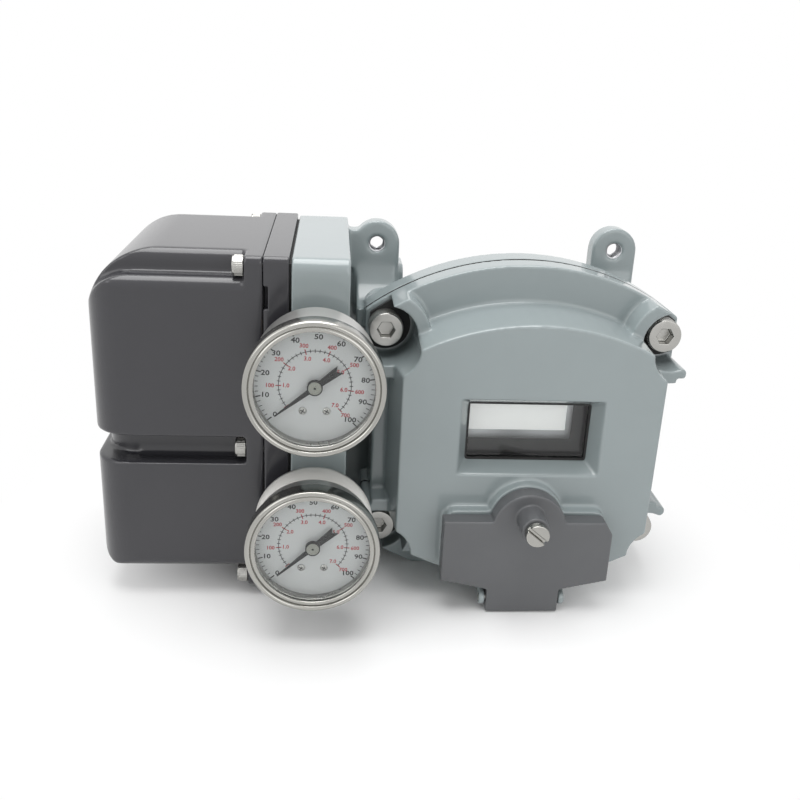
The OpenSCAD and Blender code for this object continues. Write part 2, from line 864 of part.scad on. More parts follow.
// Terminal block on the module's lower edge
module terminal_block() {
    top_y = floor_y - terminal_depth;
    color([0.15, 0.40, 0.30]) difference() {
        along_y(top_y, floor_y) translate([0, terminal_z]) square([terminal_w, terminal_h], center = true);
        for (i = [-3:3]) {
            bar_y(i * terminal_pitch, terminal_z, top_y - cut, top_y + terminal_hole_depth, terminal_hole_r);
        }
    }
}

// Clamp screws of the terminal block
module terminal_screws() {
    top_y = floor_y - terminal_depth;
    color(steel) for (i = [-3:3]) {
        bar_y(i * terminal_pitch, terminal_z, top_y + 2, top_y + terminal_hole_depth, terminal_hole_r - slip);
    }
}

// Earth screw on the inside of the back wall
module ground_screw() {
    plate_r = 5;
    head_r = 3.8;
    plate_t = 2;
    head_h = 3.5;
    x = -terminal_w / 2 - plate_r - 3;
    z = terminal_z - 1;
    color(brass) {
        bar_y(x, z, floor_y - plate_t, floor_y, plate_r);
        bar_y(x, z, floor_y - plate_t - head_h, floor_y - plate_t + 0.01, head_r);
    }
}

// Plug in the lower conduit entry
module conduit_plug() {
    key_r = 6;
    key_depth = 8;
    color(steel) difference() {
        bar_x(-conduit_y, -conduit_z, half_w - plug_len, half_w - 1, conduit_r - slip);
        translate([half_w - key_depth, -conduit_y, -conduit_z]) rotate([0, 90, 0]) {
            cylinder(h = key_depth, r = key_r, $fn = 6);
        }
    }
}

// Round hub of the travel sensor in its pocket at the back
module sensor_hub() {
    disc_t = 3;
    hub_r = pocket_r / 2;
    color(charcoal) {
        bar_y(0, 0, -pocket_depth, -pocket_depth + disc_t, pocket_r - gap);
        bar_y(0, 0, -pocket_depth, -cut, hub_r, hub_r - 1);
    }
}

// Sensor board on the inside of the back wall
module sensor_board() {
    color(board_green) bar_y(0, module_rise, floor_y - board_t, floor_y, sensor_board_r);
}

// Hinged cover over the buttons
module button_cover() {
    color(dark_grey) difference() {
        union() {
            along_y(flap_front_y, flap_back_y) flap_outline();
            bar_x(hinge_y, hinge_z, -tab_half, tab_half, knuckle_r);
            bar_y(0, flap_screw_z, collar_y, flap_front_y + cut, collar_r);
        }
        along_y(flap_front_y + flap_wall, flap_back_y + cut) {
            soft_box(
                -flap_w / 2 + flap_wall + 2, flap_w / 2 - flap_wall - 2,
                -flap_shoulder + flap_wall, -button_drop + button_flange_r, 2
            );
        }
        bar_y(0, flap_screw_z, collar_y - cut, flap_back_y + cut, flap_shank_r + slip);
        bar_x(hinge_y, hinge_z, -tab_half - cut, tab_half + cut, hinge_pin_r + slip);
    }
}

// Captive screw of the button cover
module button_cover_screw() {
    color(steel) difference() {
        union() {
            bar_y(0, flap_screw_z, flap_head_y, collar_y - gap, flap_head_r);
            bar_y(0, flap_screw_z, collar_y - gap - cut, shank_tip_y, flap_shank_r);
        }
        translate([0, flap_head_y + slot_depth / 2, flap_screw_z]) rotate([0, slot_turn, 0]) {
            cube([3 * flap_head_r, slot_depth + 0.02, slot_w], center = true);
        }
    }
}

// Hinge pin of the button cover
module hinge_pin() {
    color(steel) bar_x(hinge_y, hinge_z, -ear_x - ear_w, ear_x + ear_w, hinge_pin_r);
}

// Push button with its retaining flange behind the wall
module push_button(place) {
    color(black) {
        bar_y(place * button_pitch, button_z, face_y - button_proud, button_flange_y + 0.01, button_r);
        bar_y(
            place * button_pitch, button_z,
            button_flange_y, button_flange_y + button_flange_t, button_flange_r
        );
    }
}

module button_left() {
    push_button(-1);
}

module button_middle() {
    push_button(0);
}

module button_right() {
    push_button(1);
}

// Board with a switch behind each button
module button_board() {
    half = button_pitch + button_flange_r + 2;
    color(board_green) {
        along_y(button_board_y, button_board_y + board_t) {
            frame_box(-half, half, button_z - button_flange_r, button_z + button_flange_r);
        }
        for (s = [-1, 0, 1]) {
            bar_y(s * button_pitch, button_z, switch_y, button_board_y + 0.01, button_r - 1.5);
        }
    }
}

// Gasket between the air block and the base
module base_gasket() {
    color(black) along_x(base_x1, block_x0) difference() {
        frame_box(face_y + 2, -2, base_low_z + 2, block_top - 2);
        for (z = port_zs) {
            translate([passage_y, z]) circle(r = passage_r + clear_hole);
        }
    }
}

// Black base plate that carries the converter and the relay
module pneumatic_base() {
    color(charcoal) difference() {
        along_x(base_x0, base_x1) soft_box(face_y, 0, base_low_z, base_top, 2);
        for (z = port_zs) {
            bar_x(passage_y, z, base_x0 - cut, base_x1 + cut, passage_r);
        }
        for (s = side_screws) {
            bar_x(s[0], s[1], base_x0 - cut, base_x1 + cut, side_screw_r + slip);
        }
        for (s = base_screws_at) {
            bar_x(s[0], s[1], base_x0 - cut, base_x1 + cut, base_screw_r + slip);
        }
        along_x(base_x0 - cut, base_x0 + pry_slot_w) {
            translate([face_y - cut, base_top - pry_slot_down - pry_slot_h]) {
                square([pry_slot_depth + cut, pry_slot_h]);
            }
        }
    }
}

// Screws that hold the base on the block, inside the side cover
module base_screws() {
    color(steel) for (s = base_screws_at) {
        bar_x(s[0], s[1], base_x0 - base_screw_head_h, base_x0, base_screw_head_r);
        bar_x(s[0], s[1], base_x0 - 0.01, base_x1, base_screw_r);
    }
}

// Upright section of the side cover, drawn in by inset, with its screw channels
module side_section(inset) {
    low_z = -stand_h + side_bottom_up + inset;
    top_z = base_top - channel_h - inset;
    mid_h = mid_channel_h + inset;
    edge_r = max(shoulder_edge_r - inset, cut);
    difference() {
        union() {
            soft_box(face_y + inset, -inset, low_z, top_z, edge_r);
            soft_box(face_y + channel_depth + inset, -channel_depth - inset, low_z, base_top - inset, edge_r);
        }
        soft_box(
            face_y - channel_depth, face_y + channel_depth + inset,
            mid_screw_z - mid_h, mid_screw_z + mid_h, 3
        );
    }
}

// Corner between an upright edge at x and a level edge at z that is left outside a rounding of radius r
module outer_corner(x, z, r, up) {
    z_in = z - up * r;
    difference() {
        frame_box(x - cut, x + r, min(z_in, z + up * cut), max(z_in, z + up * cut));
        translate([x + r, z_in]) circle(r = r);
    }
}

// Body of the side cover with its rounded end, drawn in by inset
module side_form(inset) {
    end_x = side_x0 + inset;
    far_x = side_x1 + 3 * side_round;
    r = side_round - inset;
    low_r = side_round / 2;
    low_z = -stand_h + side_bottom_up + inset;
    mid_h = mid_channel_h + inset;
    front_y = face_y + channel_depth + inset;
    shoulder_z = base_top - channel_h - inset;
    difference() {
        intersection() {
            along_x(end_x, side_x1 + cut) side_section(inset);
            along_z(-stand_h, base_top) soft_box(end_x, far_x, face_y + inset, -inset, r);
            along_y(face_y, 0) difference() {
                frame_box(end_x, side_x1 + cut, -stand_h, base_top);
                outer_corner(end_x, base_top - inset, side_top_round - inset, 1);
                outer_corner(end_x, low_z, low_r, -1);
            }
        }
        for (y = [[face_y - cut, front_y], [-channel_depth - inset, cut]]) {
            along_y(y[0], y[1]) outer_corner(end_x, shoulder_z, shoulder_round - inset, 1);
        }
        along_z(mid_screw_z - mid_h, mid_screw_z + mid_h) difference() {
            frame_box(end_x - cut, end_x + groove_depth + r, face_y - cut, cut);
            soft_box(end_x + groove_depth, far_x, front_y, -inset, r);
        }
    }
}

// Side cover over the converter and the relay
module pneumatic_cover() {
    color(charcoal) difference() {
        union() {
            along_x(side_x1, base_x0) soft_box(face_y, 0, base_low_z, base_top, 2);
            side_form(0);
        }
        side_form(side_wall);
        along_x(side_x1 - cut, base_x0 + cut) side_section(side_wall);
        along_x(base_x0 - side_seal_depth, base_x0 + cut) difference() {
            side_section(side_wall - 0.01);
            side_section(side_wall + side_seal_w);
        }
        for (s = side_screws) {
            bar_x(s[0], s[1], side_x1 - cut, base_x0 + cut, side_screw_r + clear_hole);
        }
    }
}

// Seal just inside the joint of the side cover
module pneumatic_cover_seal() {
    color(black) along_x(base_x0 - side_seal_depth, base_x0) difference() {
        side_section(side_wall + slip);
        side_section(side_wall + side_seal_w);
    }
}

// Screws of the side cover, in its channels
module pneumatic_cover_screws() {
    key_r = 1.7;
    color(steel) for (s = side_screws) {
        difference() {
            union() {
                bar_x(s[0], s[1], side_x1 - side_head_h, side_x1, side_head_r);
                bar_x(s[0], s[1], side_x1 - 0.01, base_x1 + 0.5 - base_t / 4, side_screw_r);
            }
            translate([side_x1 - side_head_h - cut, s[0], s[1]]) rotate([0, 90, 0]) {
                cylinder(h = side_head_h / 2 + cut, r = key_r, $fn = 6);
            }
        }
    }
}

// Converter from current to air pressure
module current_to_pressure_converter() {
    foot = converter_r + 2;
    foot_t = 6;
    stub_len = 5;
    end_x = base_x0 - converter_len;
    color([0.55, 0.56, 0.58]) {
        along_x(base_x0 - foot_t, base_x0) {
            soft_box(side_mid_y - foot, side_mid_y + foot, converter_z - foot, converter_z + foot, 3);
        }
        bar_x(side_mid_y, converter_z, end_x, base_x0 - foot_t + 0.01, converter_r);
        bar_x(side_mid_y, converter_z, end_x - stub_len, end_x + 0.01, converter_r / 2);
    }
}

// Body of the air relay
module relay_body() {
    half = relay_size / 2;
    color([0.70, 0.71, 0.73]) difference() {
        union() {
            for (i = [0:2]) {
                x1 = base_x0 - i * relay_len / 3;
                along_x(x1 - relay_len / 3, i == 0 ? x1 : x1 + 0.01) {
                    soft_box(
                        side_mid_y - half + i % 2, side_mid_y + half - i % 2,
                        -relay_drop - half + i % 2, -relay_drop + half - i % 2, 4
                    );
                }
            }
        }
        bar_x(side_mid_y, -relay_drop, base_x0 - relay_len - cut, base_x0 - relay_len / 3, plunger_r + slip);
    }
}

// Cap over the relay's plunger
module relay_cap() {
    x1 = base_x0 - relay_len;
    cap_len = 9;
    color([0.70, 0.71, 0.73]) difference() {
        bar_x(side_mid_y, -relay_drop, x1 - cap_len, x1, relay_size / 3);
        bar_x(side_mid_y, -relay_drop, x1 - cap_len - cut, x1 + cut, plunger_r + slip);
    }
}

// Plunger that slides in the relay
module relay_plunger() {
    x1 = base_x0 - relay_len;
    out_len = 12;
    in_len = relay_len / 3 - plunger_travel;
    color(brass) bar_x(side_mid_y, -relay_drop, x1 - out_len, x1 + in_len, plunger_r);
}

// Filter screwed into the base beside the relay
module air_filter() {
    filter_r = 5;
    hex_r = 6.5;
    filter_len = 14;
    y = side_mid_y + relay_size / 2 + hex_r + 2;
    color(brass) {
        bar_x(y, -relay_drop, base_x0 - filter_len, base_x0, filter_r);
        bar_x(y, -relay_drop, base_x0 - filter_len / 3, base_x0, hex_r);
    }
}

// Gauge pieces, drawn round the axis of the gauge at height z

// Cup of the gauge
module gauge_case(z) {
    color(steel) difference() {
        bar_y(port_x, z, lens_y + lens_t, gauge_back_y, gauge_case_r);
        bar_y(port_x, z, lens_y, gauge_back_y - 1.2, gauge_case_r - gauge_case_wall);
        bar_y(port_x, z, gauge_back_y - 2, gauge_back_y + cut, stem_hex / 2 - 1.5);
    }
}

// Ring that holds the lens
module gauge_bezel(z) {
    color(steel) difference() {
        bar_y(port_x, z, gauge_front_y, gauge_front_y + bezel_len, bezel_r - 0.6, bezel_r);
        bar_y(port_x, z, gauge_front_y - cut, lens_y + 0.01, bezel_r - bezel_lip + 0.8, bezel_r - bezel_lip);
        bar_y(port_x, z, lens_y, gauge_front_y + bezel_len + cut, gauge_case_r + slip);
    }
}

// Lens of the gauge
module gauge_lens(z) {
    color([0.85, 0.88, 0.90, 0.35]) bar_y(port_x, z, lens_y, lens_y + lens_t, gauge_case_r);
}

// Dial of the gauge
module gauge_dial(z) {
    color(dial_white) difference() {
        bar_y(port_x, z, dial_y, dial_y + dial_t, lens_r);
        bar_y(port_x, z, dial_y - cut, dial_y + dial_t + cut, spindle_r + clear_hole);
    }
}

// Stem, hexagon and inner post with the spindle's bush
module gauge_socket(z) {
    inner_post_len = 10;
    bush_r = 2.4;
    color(brass) difference() {
        union() {
            bar_y(port_x, z, face_y - 0.01, face_y + stem_len, stem_thread_r);
            translate([port_x, face_y, z]) rotate([90, 30, 0]) {
                cylinder(h = stem_len, r = stem_hex / sqrt(3), $fn = 6);
            }
            bar_y(port_x, z, gauge_back_y - inner_post_len, gauge_back_y + 0.01, stem_hex / 2 - 1.6);
            bar_y(port_x, z, bush_y, gauge_back_y, bush_r);
            along_y(tube_y - tube_r - 1, tube_y + tube_r + 1) {
                translate([port_x, z]) frame_box(-socket_half, socket_half, -tube_ring_r - 1, 0);
            }
        }
        bar_y(port_x, z, bush_y - cut, bush_y + 6, spindle_r + slip);
        bar_y(port_x, z, gauge_back_y - 8, face_y + stem_len + cut, passage_r);
    }
}

// Curved pressure tube of the gauge
module gauge_tube(z) {
    start = -acos((socket_half + slip) / (tube_ring_r - tube_r));
    sweep = 270;
    color(brass) translate([port_x, tube_y, z]) rotate([90, 0, 0]) rotate([0, 0, start]) {
        rotate_extrude(angle = sweep) translate([tube_ring_r, 0]) circle(r = tube_r, $fn = 24);
    }
}

// Pointer with its hub, tail and spindle
module gauge_pointer(z, rest) {
    tip = 0.15;
    waist = 0.9;
    fork = 1.5;
    hub_r = 2.6;
    hub_front = 1.3;
    spindle_in = 5.5;
    notch_x = pointer_tail - fork;
    color(black) translate([port_x, 0, z]) {
        rotate([0, -rest, 0]) along_y(pointer_y - pointer_t, pointer_y) {
            polygon([
                [-pointer_len, tip], [-pointer_len, -tip], [0, -waist],
                [pointer_tail, -fork], [notch_x, 0], [pointer_tail, fork], [0, waist]
            ]);
        }
        bar_y(0, 0, pointer_y - hub_front, pointer_y + 0.2, hub_r);
        bar_y(0, 0, pointer_y, bush_y + spindle_in, spindle_r);
    }
}

module upper_gauge_case() {
    gauge_case(upper_port_z);
}

module upper_gauge_bezel() {
    gauge_bezel(upper_port_z);
}

module upper_gauge_lens() {
    gauge_lens(upper_port_z);
}

module upper_gauge_dial() {
    gauge_dial(upper_port_z);
}

module upper_gauge_socket() {
    gauge_socket(upper_port_z);
}

module upper_gauge_tube() {
    gauge_tube(upper_port_z);
}

module upper_gauge_pointer() {
    gauge_pointer(upper_port_z, upper_rest);
}

module lower_gauge_case() {
    gauge_case(-lower_port_drop);
}

module lower_gauge_bezel() {
    gauge_bezel(-lower_port_drop);
}

module lower_gauge_lens() {
    gauge_lens(-lower_port_drop);
}

module lower_gauge_dial() {
    gauge_dial(-lower_port_drop);
}

module lower_gauge_socket() {
    gauge_socket(-lower_port_drop);
}

module lower_gauge_tube() {
    gauge_tube(-lower_port_drop);
}

module lower_gauge_pointer() {
    gauge_pointer(-lower_port_drop, lower_rest);
}

housing();
front_cover();
cover_gasket();
cover_screws();
cover_screw_washers();
window_seal();
window_glass();
window_retainer();
display_panel();
display_board();
electronics_module();
module_posts();
terminal_block();
terminal_screws();
ground_screw();
conduit_plug();
sensor_hub();
sensor_board();
button_cover();
button_cover_screw();
hinge_pin();
button_left();
button_middle();
button_right();
button_board();
base_gasket();
pneumatic_base();
base_screws();
pneumatic_cover();
pneumatic_cover_seal();
pneumatic_cover_screws();
current_to_pressure_converter();
relay_body();
relay_cap();
relay_plunger();
air_filter();
upper_gauge_case();
upper_gauge_bezel();
upper_gauge_lens();
upper_gauge_dial();
upper_gauge_socket();
upper_gauge_tube();
upper_gauge_pointer();
lower_gauge_case();
lower_gauge_bezel();
lower_gauge_lens();
lower_gauge_dial();
lower_gauge_socket();
lower_gauge_tube();
lower_gauge_pointer();
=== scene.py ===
"""Looks of the valve positioner: finishes, rounded castings, dials, glass and studio."""

import json
import math

import bmesh
import bpy
from mathutils import Matrix, Vector


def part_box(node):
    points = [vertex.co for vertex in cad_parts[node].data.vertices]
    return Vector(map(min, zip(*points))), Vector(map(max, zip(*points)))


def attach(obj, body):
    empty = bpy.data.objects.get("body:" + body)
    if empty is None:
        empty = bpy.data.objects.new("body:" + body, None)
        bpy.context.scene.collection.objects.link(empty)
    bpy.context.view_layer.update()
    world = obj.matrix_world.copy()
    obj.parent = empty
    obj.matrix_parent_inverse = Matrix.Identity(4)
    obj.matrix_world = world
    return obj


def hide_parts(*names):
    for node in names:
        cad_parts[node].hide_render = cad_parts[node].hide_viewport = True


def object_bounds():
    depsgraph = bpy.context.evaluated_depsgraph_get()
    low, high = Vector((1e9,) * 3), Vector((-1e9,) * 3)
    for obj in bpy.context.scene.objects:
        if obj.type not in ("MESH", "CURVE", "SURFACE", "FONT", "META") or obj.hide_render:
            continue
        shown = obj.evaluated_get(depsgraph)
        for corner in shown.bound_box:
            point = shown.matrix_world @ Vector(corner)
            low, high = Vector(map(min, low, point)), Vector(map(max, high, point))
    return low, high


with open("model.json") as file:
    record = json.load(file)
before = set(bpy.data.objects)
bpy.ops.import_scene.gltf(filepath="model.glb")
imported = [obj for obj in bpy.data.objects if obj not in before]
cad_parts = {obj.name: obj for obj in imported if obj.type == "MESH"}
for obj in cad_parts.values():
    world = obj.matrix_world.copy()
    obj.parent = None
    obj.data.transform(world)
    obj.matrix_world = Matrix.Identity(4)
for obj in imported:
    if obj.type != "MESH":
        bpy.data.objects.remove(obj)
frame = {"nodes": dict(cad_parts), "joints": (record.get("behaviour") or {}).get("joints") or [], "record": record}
cad_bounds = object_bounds()
cad = frame["nodes"]
record = frame["record"]

MM = 0.001

# Camera of the photograph, in the part's frame
CAMERA_AT = (-76.29 * MM, -409.27 * MM, 144.62 * MM)
CAMERA_PITCH = math.radians(20.83)
CAMERA_YAW = math.radians(4.72)
CAMERA_ROLL = math.radians(2.74)
CAMERA_LENS = 42.29

# Rounding of the edges, with the angles that count as sharp and as flat
PLATE_ROUND = 0.6 * MM
HEAD_ROUND = 0.35 * MM
ROUND_STEPS = 2
SHARP_ANGLE = math.radians(30)
FLAT_ANGLE = math.radians(0.5)
WELD = 0.002 * MM

# Cast and moulded skins: grain of the skin, passes that soften it, and the share of faces kept
CAST_SKINS = {
    "housing": (0.6 * MM, 8, 0.22),
    "front_cover": (0.5 * MM, 9, 0.25),
    "pneumatic_cover": (0.6 * MM, 8, 0.3),
    "button_cover": (0.35 * MM, 8, 0.6),
}

# Glass: reflection of a coated face, where plain glass has 0.5, and refraction
COATED_GLASS = 0.04
GLASS_IOR = 1.46

# Dials, with angles in degrees clockwise from straight left
GAUGES = ("upper", "lower")
DIAL_SWEEP = 264
DIAL_START = -42
DIAL_TILT = {"upper": math.radians(3.5), "lower": 0.0}
INK_LIFT = 0.06 * MM
THIN_LINE = 0.24 * MM
INNER_SCALE_R = 12.0 * MM
DIAL_SCREW_X = 4.0 * MM
DIAL_SCREW_DROP = 9.0 * MM

# Numerals: boldness, widening, heights and distances from the dial's centre
NUMERAL_WEIGHT = 0.022
NUMERAL_WIDTH = 1.15
BLACK_HEIGHT = 2.5 * MM
BLACK_REACH = 16.8 * MM
RED_HEIGHT = 2.0 * MM
RED_OUTER_REACH = 13.9 * MM
RED_SIDE_REACH = 1.0 * MM
RED_INNER_REACH = 9.6 * MM

# Rows of ticks: count, radius, length, width and ink, which is 0 for black and 1 for red
TICK_ROWS = (
    (51, 19.3 * MM, 1.1 * MM, THIN_LINE, 0),
    (11, 19.1 * MM, 1.7 * MM, 0.42 * MM, 0),
    (36, INNER_SCALE_R, 1.2 * MM, THIN_LINE, 0),
    (8, INNER_SCALE_R, 1.9 * MM, 0.36 * MM, 1),
)

# Screw heads
COVER_HEAD_R = 6.5 * MM
COVER_HEAD_H = 8.0 * MM
SIDE_HEAD_R = 3.5 * MM
SIDE_HEAD_H = 4.0 * MM
MID_SCREW_Z = 1.5 * MM
RIDGE_MIDDLE = 0.55
RIDGE_LENGTH = 0.7

# Threads: how far the first turn lies inside the mouth, how far the ring sits in the wall, and points per turn
THREAD_IN = 0.8 * MM
THREAD_SEAT = 0.4 * MM
THREAD_STEPS = 6
THREAD_CREST = 0.55
LUG_PITCH = 1.25 * MM
PORT_PITCH = 1.41 * MM
PORT_PLAIN_END = 4 * MM
MOUNT_PITCH = 1.0 * MM
MOUNT_THREAD_LENGTH = 8 * MM
CONDUIT_PITCH = 1.5 * MM

# Studio: where lamps and floor centre on, the light around, and lamps with place, size and watts
STUDIO_MIDDLE = (-0.05, -0.06, 0.0)
WORLD_LIGHT = 0.55
FLOOR_HALF = 6.0
FLOOR_DROP = 0.2 * MM
FLOOR_FADE = (0.06, 0.18)
LAMPS = {
    "top softbox": ((-0.1, -0.05, 0.8), (0.8, 0.6), 7),
    "left softbox": ((-0.7, -0.6, 0.45), (0.5, 0.6), 1.6),
    "front fill": ((0.35, -0.9, 0.25), (0.6, 0.5), 1.2),
}


def joint_place(name):
    """Place of a joint at rest."""
    return Vector(next(j for j in frame["joints"] if j["name"] == name)["pos_m"])


def mount_place(name):
    """Place of a mount."""
    return Vector(next(m for m in record["mounts"] if m["name"] == name)["pos_m"])


# Shader groups shared by several finishes


def new_group(name, inputs, outputs):
    """Empty shader group with float inputs and the named outputs."""
    group = bpy.data.node_groups.new(name, "ShaderNodeTree")
    for label, value in inputs:
        socket = group.interface.new_socket(label, in_out="INPUT", socket_type="NodeSocketFloat")
        socket.default_value = value
    for label in outputs:
        group.interface.new_socket(label, in_out="OUTPUT", socket_type="NodeSocketFloat")
    start = group.nodes.new("NodeGroupInput")
    end = group.nodes.new("NodeGroupOutput")
    return group, start, end


def object_noise(tree, scale, detail, rough=0.55):
    """Noise on Object coordinates; scale is an output socket."""
    where = tree.nodes.new("ShaderNodeTexCoord")
    noise = tree.nodes.new("ShaderNodeTexNoise")
    noise.inputs["Detail"].default_value = detail
    noise.inputs["Roughness"].default_value = rough
    tree.links.new(where.outputs["Object"], noise.inputs["Vector"])
    tree.links.new(scale, noise.inputs["Scale"])
    return noise.outputs["Fac"]


def remap(tree, value, low, high, out_low, out_high):
    """Map Range with numbers or sockets for its limits."""
    node = tree.nodes.new("ShaderNodeMapRange")
    for label, item in (("Value", value), ("From Min", low), ("From Max", high),
                        ("To Min", out_low), ("To Max", out_high)):
        if isinstance(item, (int, float)):
            node.inputs[label].default_value = item
        else:
            tree.links.new(item, node.inputs[label])
    return node.outputs["Result"]


def math_node(tree, kind, first, second):
    """Math node on two numbers or sockets."""
    node = tree.nodes.new("ShaderNodeMath")
    node.operation = kind
    for place, item in enumerate((first, second)):
        if isinstance(item, (int, float)):
            node.inputs[place].default_value = item
        else:
            tree.links.new(item, node.inputs[place])
    return node.outputs["Value"]


def make_surface_grain():
    """Fine grain of a moulded or painted skin: a height and a soft tone."""
    group, start, end = new_group(
        "surface_grain", [("Fine Scale", 1500.0), ("Broad Scale", 60.0)], ["Height", "Tone"])
    fine = object_noise(group, start.outputs["Fine Scale"], 2.0)
    broad = object_noise(group, start.outputs["Broad Scale"], 4.0)
    group.links.new(fine, end.inputs["Height"])
    group.links.new(broad, end.inputs["Tone"])
    return group


def make_handling_marks():
    """Smears and dull patches from handling: a mask from 0 to 1."""
    group, start, end = new_group(
        "handling_marks", [("Patch Scale", 25.0), ("Speck Scale", 400.0)], ["Mask"])
    patch = object_noise(group, start.outputs["Patch Scale"], 5.0, 0.6)
    speck = object_noise(group, start.outputs["Speck Scale"], 2.0)
    patch = remap(group, patch, 0.42, 0.68, 0.0, 1.0)
    speck = remap(group, speck, 0.35, 0.7, 0.4, 1.0)
    group.links.new(math_node(group, "MULTIPLY", patch, speck), end.inputs["Mask"])
    return group


SURFACE_GRAIN = make_surface_grain()
HANDLING_MARKS = make_handling_marks()


def place_group(tree, group, **values):
    """Node of a shader group with its own input values."""
    node = tree.nodes.new("ShaderNodeGroup")
    node.node_tree = group
    for label, value in values.items():
        node.inputs[label.replace("_", " ")].default_value = value
    return node


def mix_colours(tree, mask, first, second):
    """Colour mix by a mask."""
    node = tree.nodes.new("ShaderNodeMix")
    node.data_type = "RGBA"
    node.inputs[6].default_value = (*first, 1)
    node.inputs[7].default_value = (*second, 1)
    tree.links.new(mask, node.inputs[0])
    return node.outputs[2]


def shade(colour, amount):
    """Colour made lighter or darker."""
    return tuple(min(1.0, c * amount) for c in colour)


def skin(name, colour, rough, grain=1500.0, bump=0.05, vary=0.12, metal=0.0, coat=0.0, coat_rough=0.1,
         marks=0.1, specular=0.5, painted_glow=0.0):
    """Painted, moulded or metal surface with grain, tone and handling marks; a display also takes a painted glow
    that stands in for the light it reflects.
    """
    material = bpy.data.materials.new(name)
    material.use_nodes = True
    tree = material.node_tree
    bsdf = tree.nodes["Principled BSDF"]
    bsdf.inputs["Metallic"].default_value = metal
    bsdf.inputs["Coat Weight"].default_value = coat
    bsdf.inputs["Coat Roughness"].default_value = coat_rough
    bsdf.inputs["Specular IOR Level"].default_value = specular
    bsdf.inputs["Emission Strength"].default_value = painted_glow
    surface = place_group(tree, SURFACE_GRAIN, Fine_Scale=grain)
    handled = place_group(tree, HANDLING_MARKS)
    tone = mix_colours(tree, surface.outputs["Tone"], shade(colour, 1 - vary), shade(colour, 1 + vary))
    tree.links.new(tone, bsdf.inputs["Base Color"])
    dull = remap(tree, handled.outputs["Mask"], 0.0, 1.0, rough, min(1.0, rough + marks))
    tree.links.new(dull, bsdf.inputs["Roughness"])
    if bump:
        height = tree.nodes.new("ShaderNodeBump")
        height.inputs["Strength"].default_value = bump
        height.inputs["Distance"].default_value = 0.1 * MM
        tree.links.new(surface.outputs["Height"], height.inputs["Height"])
        tree.links.new(height.outputs["Normal"], bsdf.inputs["Normal"])
    return material


def clear_skin(name, tint, rough=0.02):
    """Glass or clear plastic with faint smears."""
    material = bpy.data.materials.new(name)
    material.use_nodes = True
    tree = material.node_tree
    bsdf = tree.nodes["Principled BSDF"]
    bsdf.inputs["Transmission Weight"].default_value = 1.0
    bsdf.inputs["IOR"].default_value = GLASS_IOR
    bsdf.inputs["Specular IOR Level"].default_value = COATED_GLASS
    bsdf.inputs["Base Color"].default_value = (*tint, 1)
    handled = place_group(tree, HANDLING_MARKS, Patch_Scale=40.0)
    dull = remap(tree, handled.outputs["Mask"], 0.0, 1.0, rough, rough + 0.04)
    tree.links.new(dull, bsdf.inputs["Roughness"])
    return material


FINISH = {
    "grey_casting": skin("grey_paint", (0.26, 0.3, 0.305), 0.24, grain=700.0, bump=0.03, vary=0.03, coat=0.5,
                         coat_rough=0.06, marks=0.03),
    "charcoal_plastic": skin("charcoal_plastic", (0.03, 0.0298, 0.0345), 0.25, grain=2600.0, vary=0.06,
                             coat=0.3, marks=0.0),
    "dark_plastic": skin("dark_plastic", (0.1, 0.103, 0.108), 0.36, grain=2400.0, bump=0.1, vary=0.1),
    "black_rubber": skin("black_rubber", (0.012, 0.012, 0.012), 0.6, grain=2000.0, bump=0.1, vary=0.2),
    "black_plastic": skin("black_plastic", (0.014, 0.014, 0.015), 0.4, grain=2000.0, bump=0.08, vary=0.15),
    "steel": skin("socket_steel", (0.42, 0.415, 0.395), 0.25, grain=3000.0, bump=0.06, vary=0.08, metal=1.0),
    "bright_steel": skin("bright_steel", (0.4, 0.395, 0.37), 0.18, grain=2500.0, bump=0.03, vary=0.06,
                         metal=1.0),
    "brass": skin("turned_brass", (0.5, 0.37, 0.17), 0.3, grain=2500.0, bump=0.06, vary=0.1, metal=1.0),
    "clear_glass": clear_skin("clear_glass", (0.97, 0.985, 0.98)),
    "dial_face": skin("dial_white", (0.66, 0.67, 0.67), 0.45, bump=0.0, vary=0.02, marks=0.05),
    # The display glows as painted light: its emission stands in for the bright reflection on its field, not for a
    # lamp.
    "display": skin("display_grey", (0.86, 0.87, 0.85), 0.3, bump=0.02, vary=0.04, painted_glow=0.28),
    "board": skin("board_green", (0.02, 0.11, 0.06), 0.4, grain=800.0, vary=0.15),
    "bare_aluminium": skin("machined_aluminium", (0.5, 0.505, 0.52), 0.32, grain=2500.0, bump=0.06, vary=0.08,
                           metal=1.0),
}
BLACK_INK = skin("black_ink", (0.012, 0.012, 0.013), 0.6, bump=0.0, vary=0.1, specular=0.15)
RED_INK = skin("red_ink", (0.5, 0.025, 0.04), 0.6, bump=0.0, vary=0.1, specular=0.15)
POINTER_PAINT = skin("pointer_black", (0.006, 0.007, 0.007), 0.6, bump=0.02, vary=0.1, specular=0.05)
HUB_METAL = skin("hub_nickel", (0.3, 0.305, 0.265), 0.4, grain=2500.0, bump=0.03, vary=0.05, metal=0.4)
SATIN_STEEL = skin("satin_steel", (0.6, 0.595, 0.58), 0.38, grain=2500.0, vary=0.06, metal=1.0)
PAPER = skin("blank_paper", (0.72, 0.71, 0.68), 0.6, grain=1800.0, vary=0.05)

SLOT_OF = {item["node"]: item["material_slot"] for item in record["subparts"]}
BODY_OF = {node: body for body, members in record["behaviour"]["bodies"].items() for node in members}


def dress(obj, material):
    """Gives an object one material."""
    obj.data.materials.clear()
    obj.data.materials.append(material)


def add_piece(name, mesh, material, body, slot, *stands_for):
    """New piece in place, with its finish, body and the nodes that it stands for; the slot argument is not used.
    """
    obj = bpy.data.objects.new(name, mesh)
    bpy.context.scene.collection.objects.link(obj)
    dress(obj, material)
    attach(obj, body)
    if stands_for:
        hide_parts(*stands_for)
    return obj


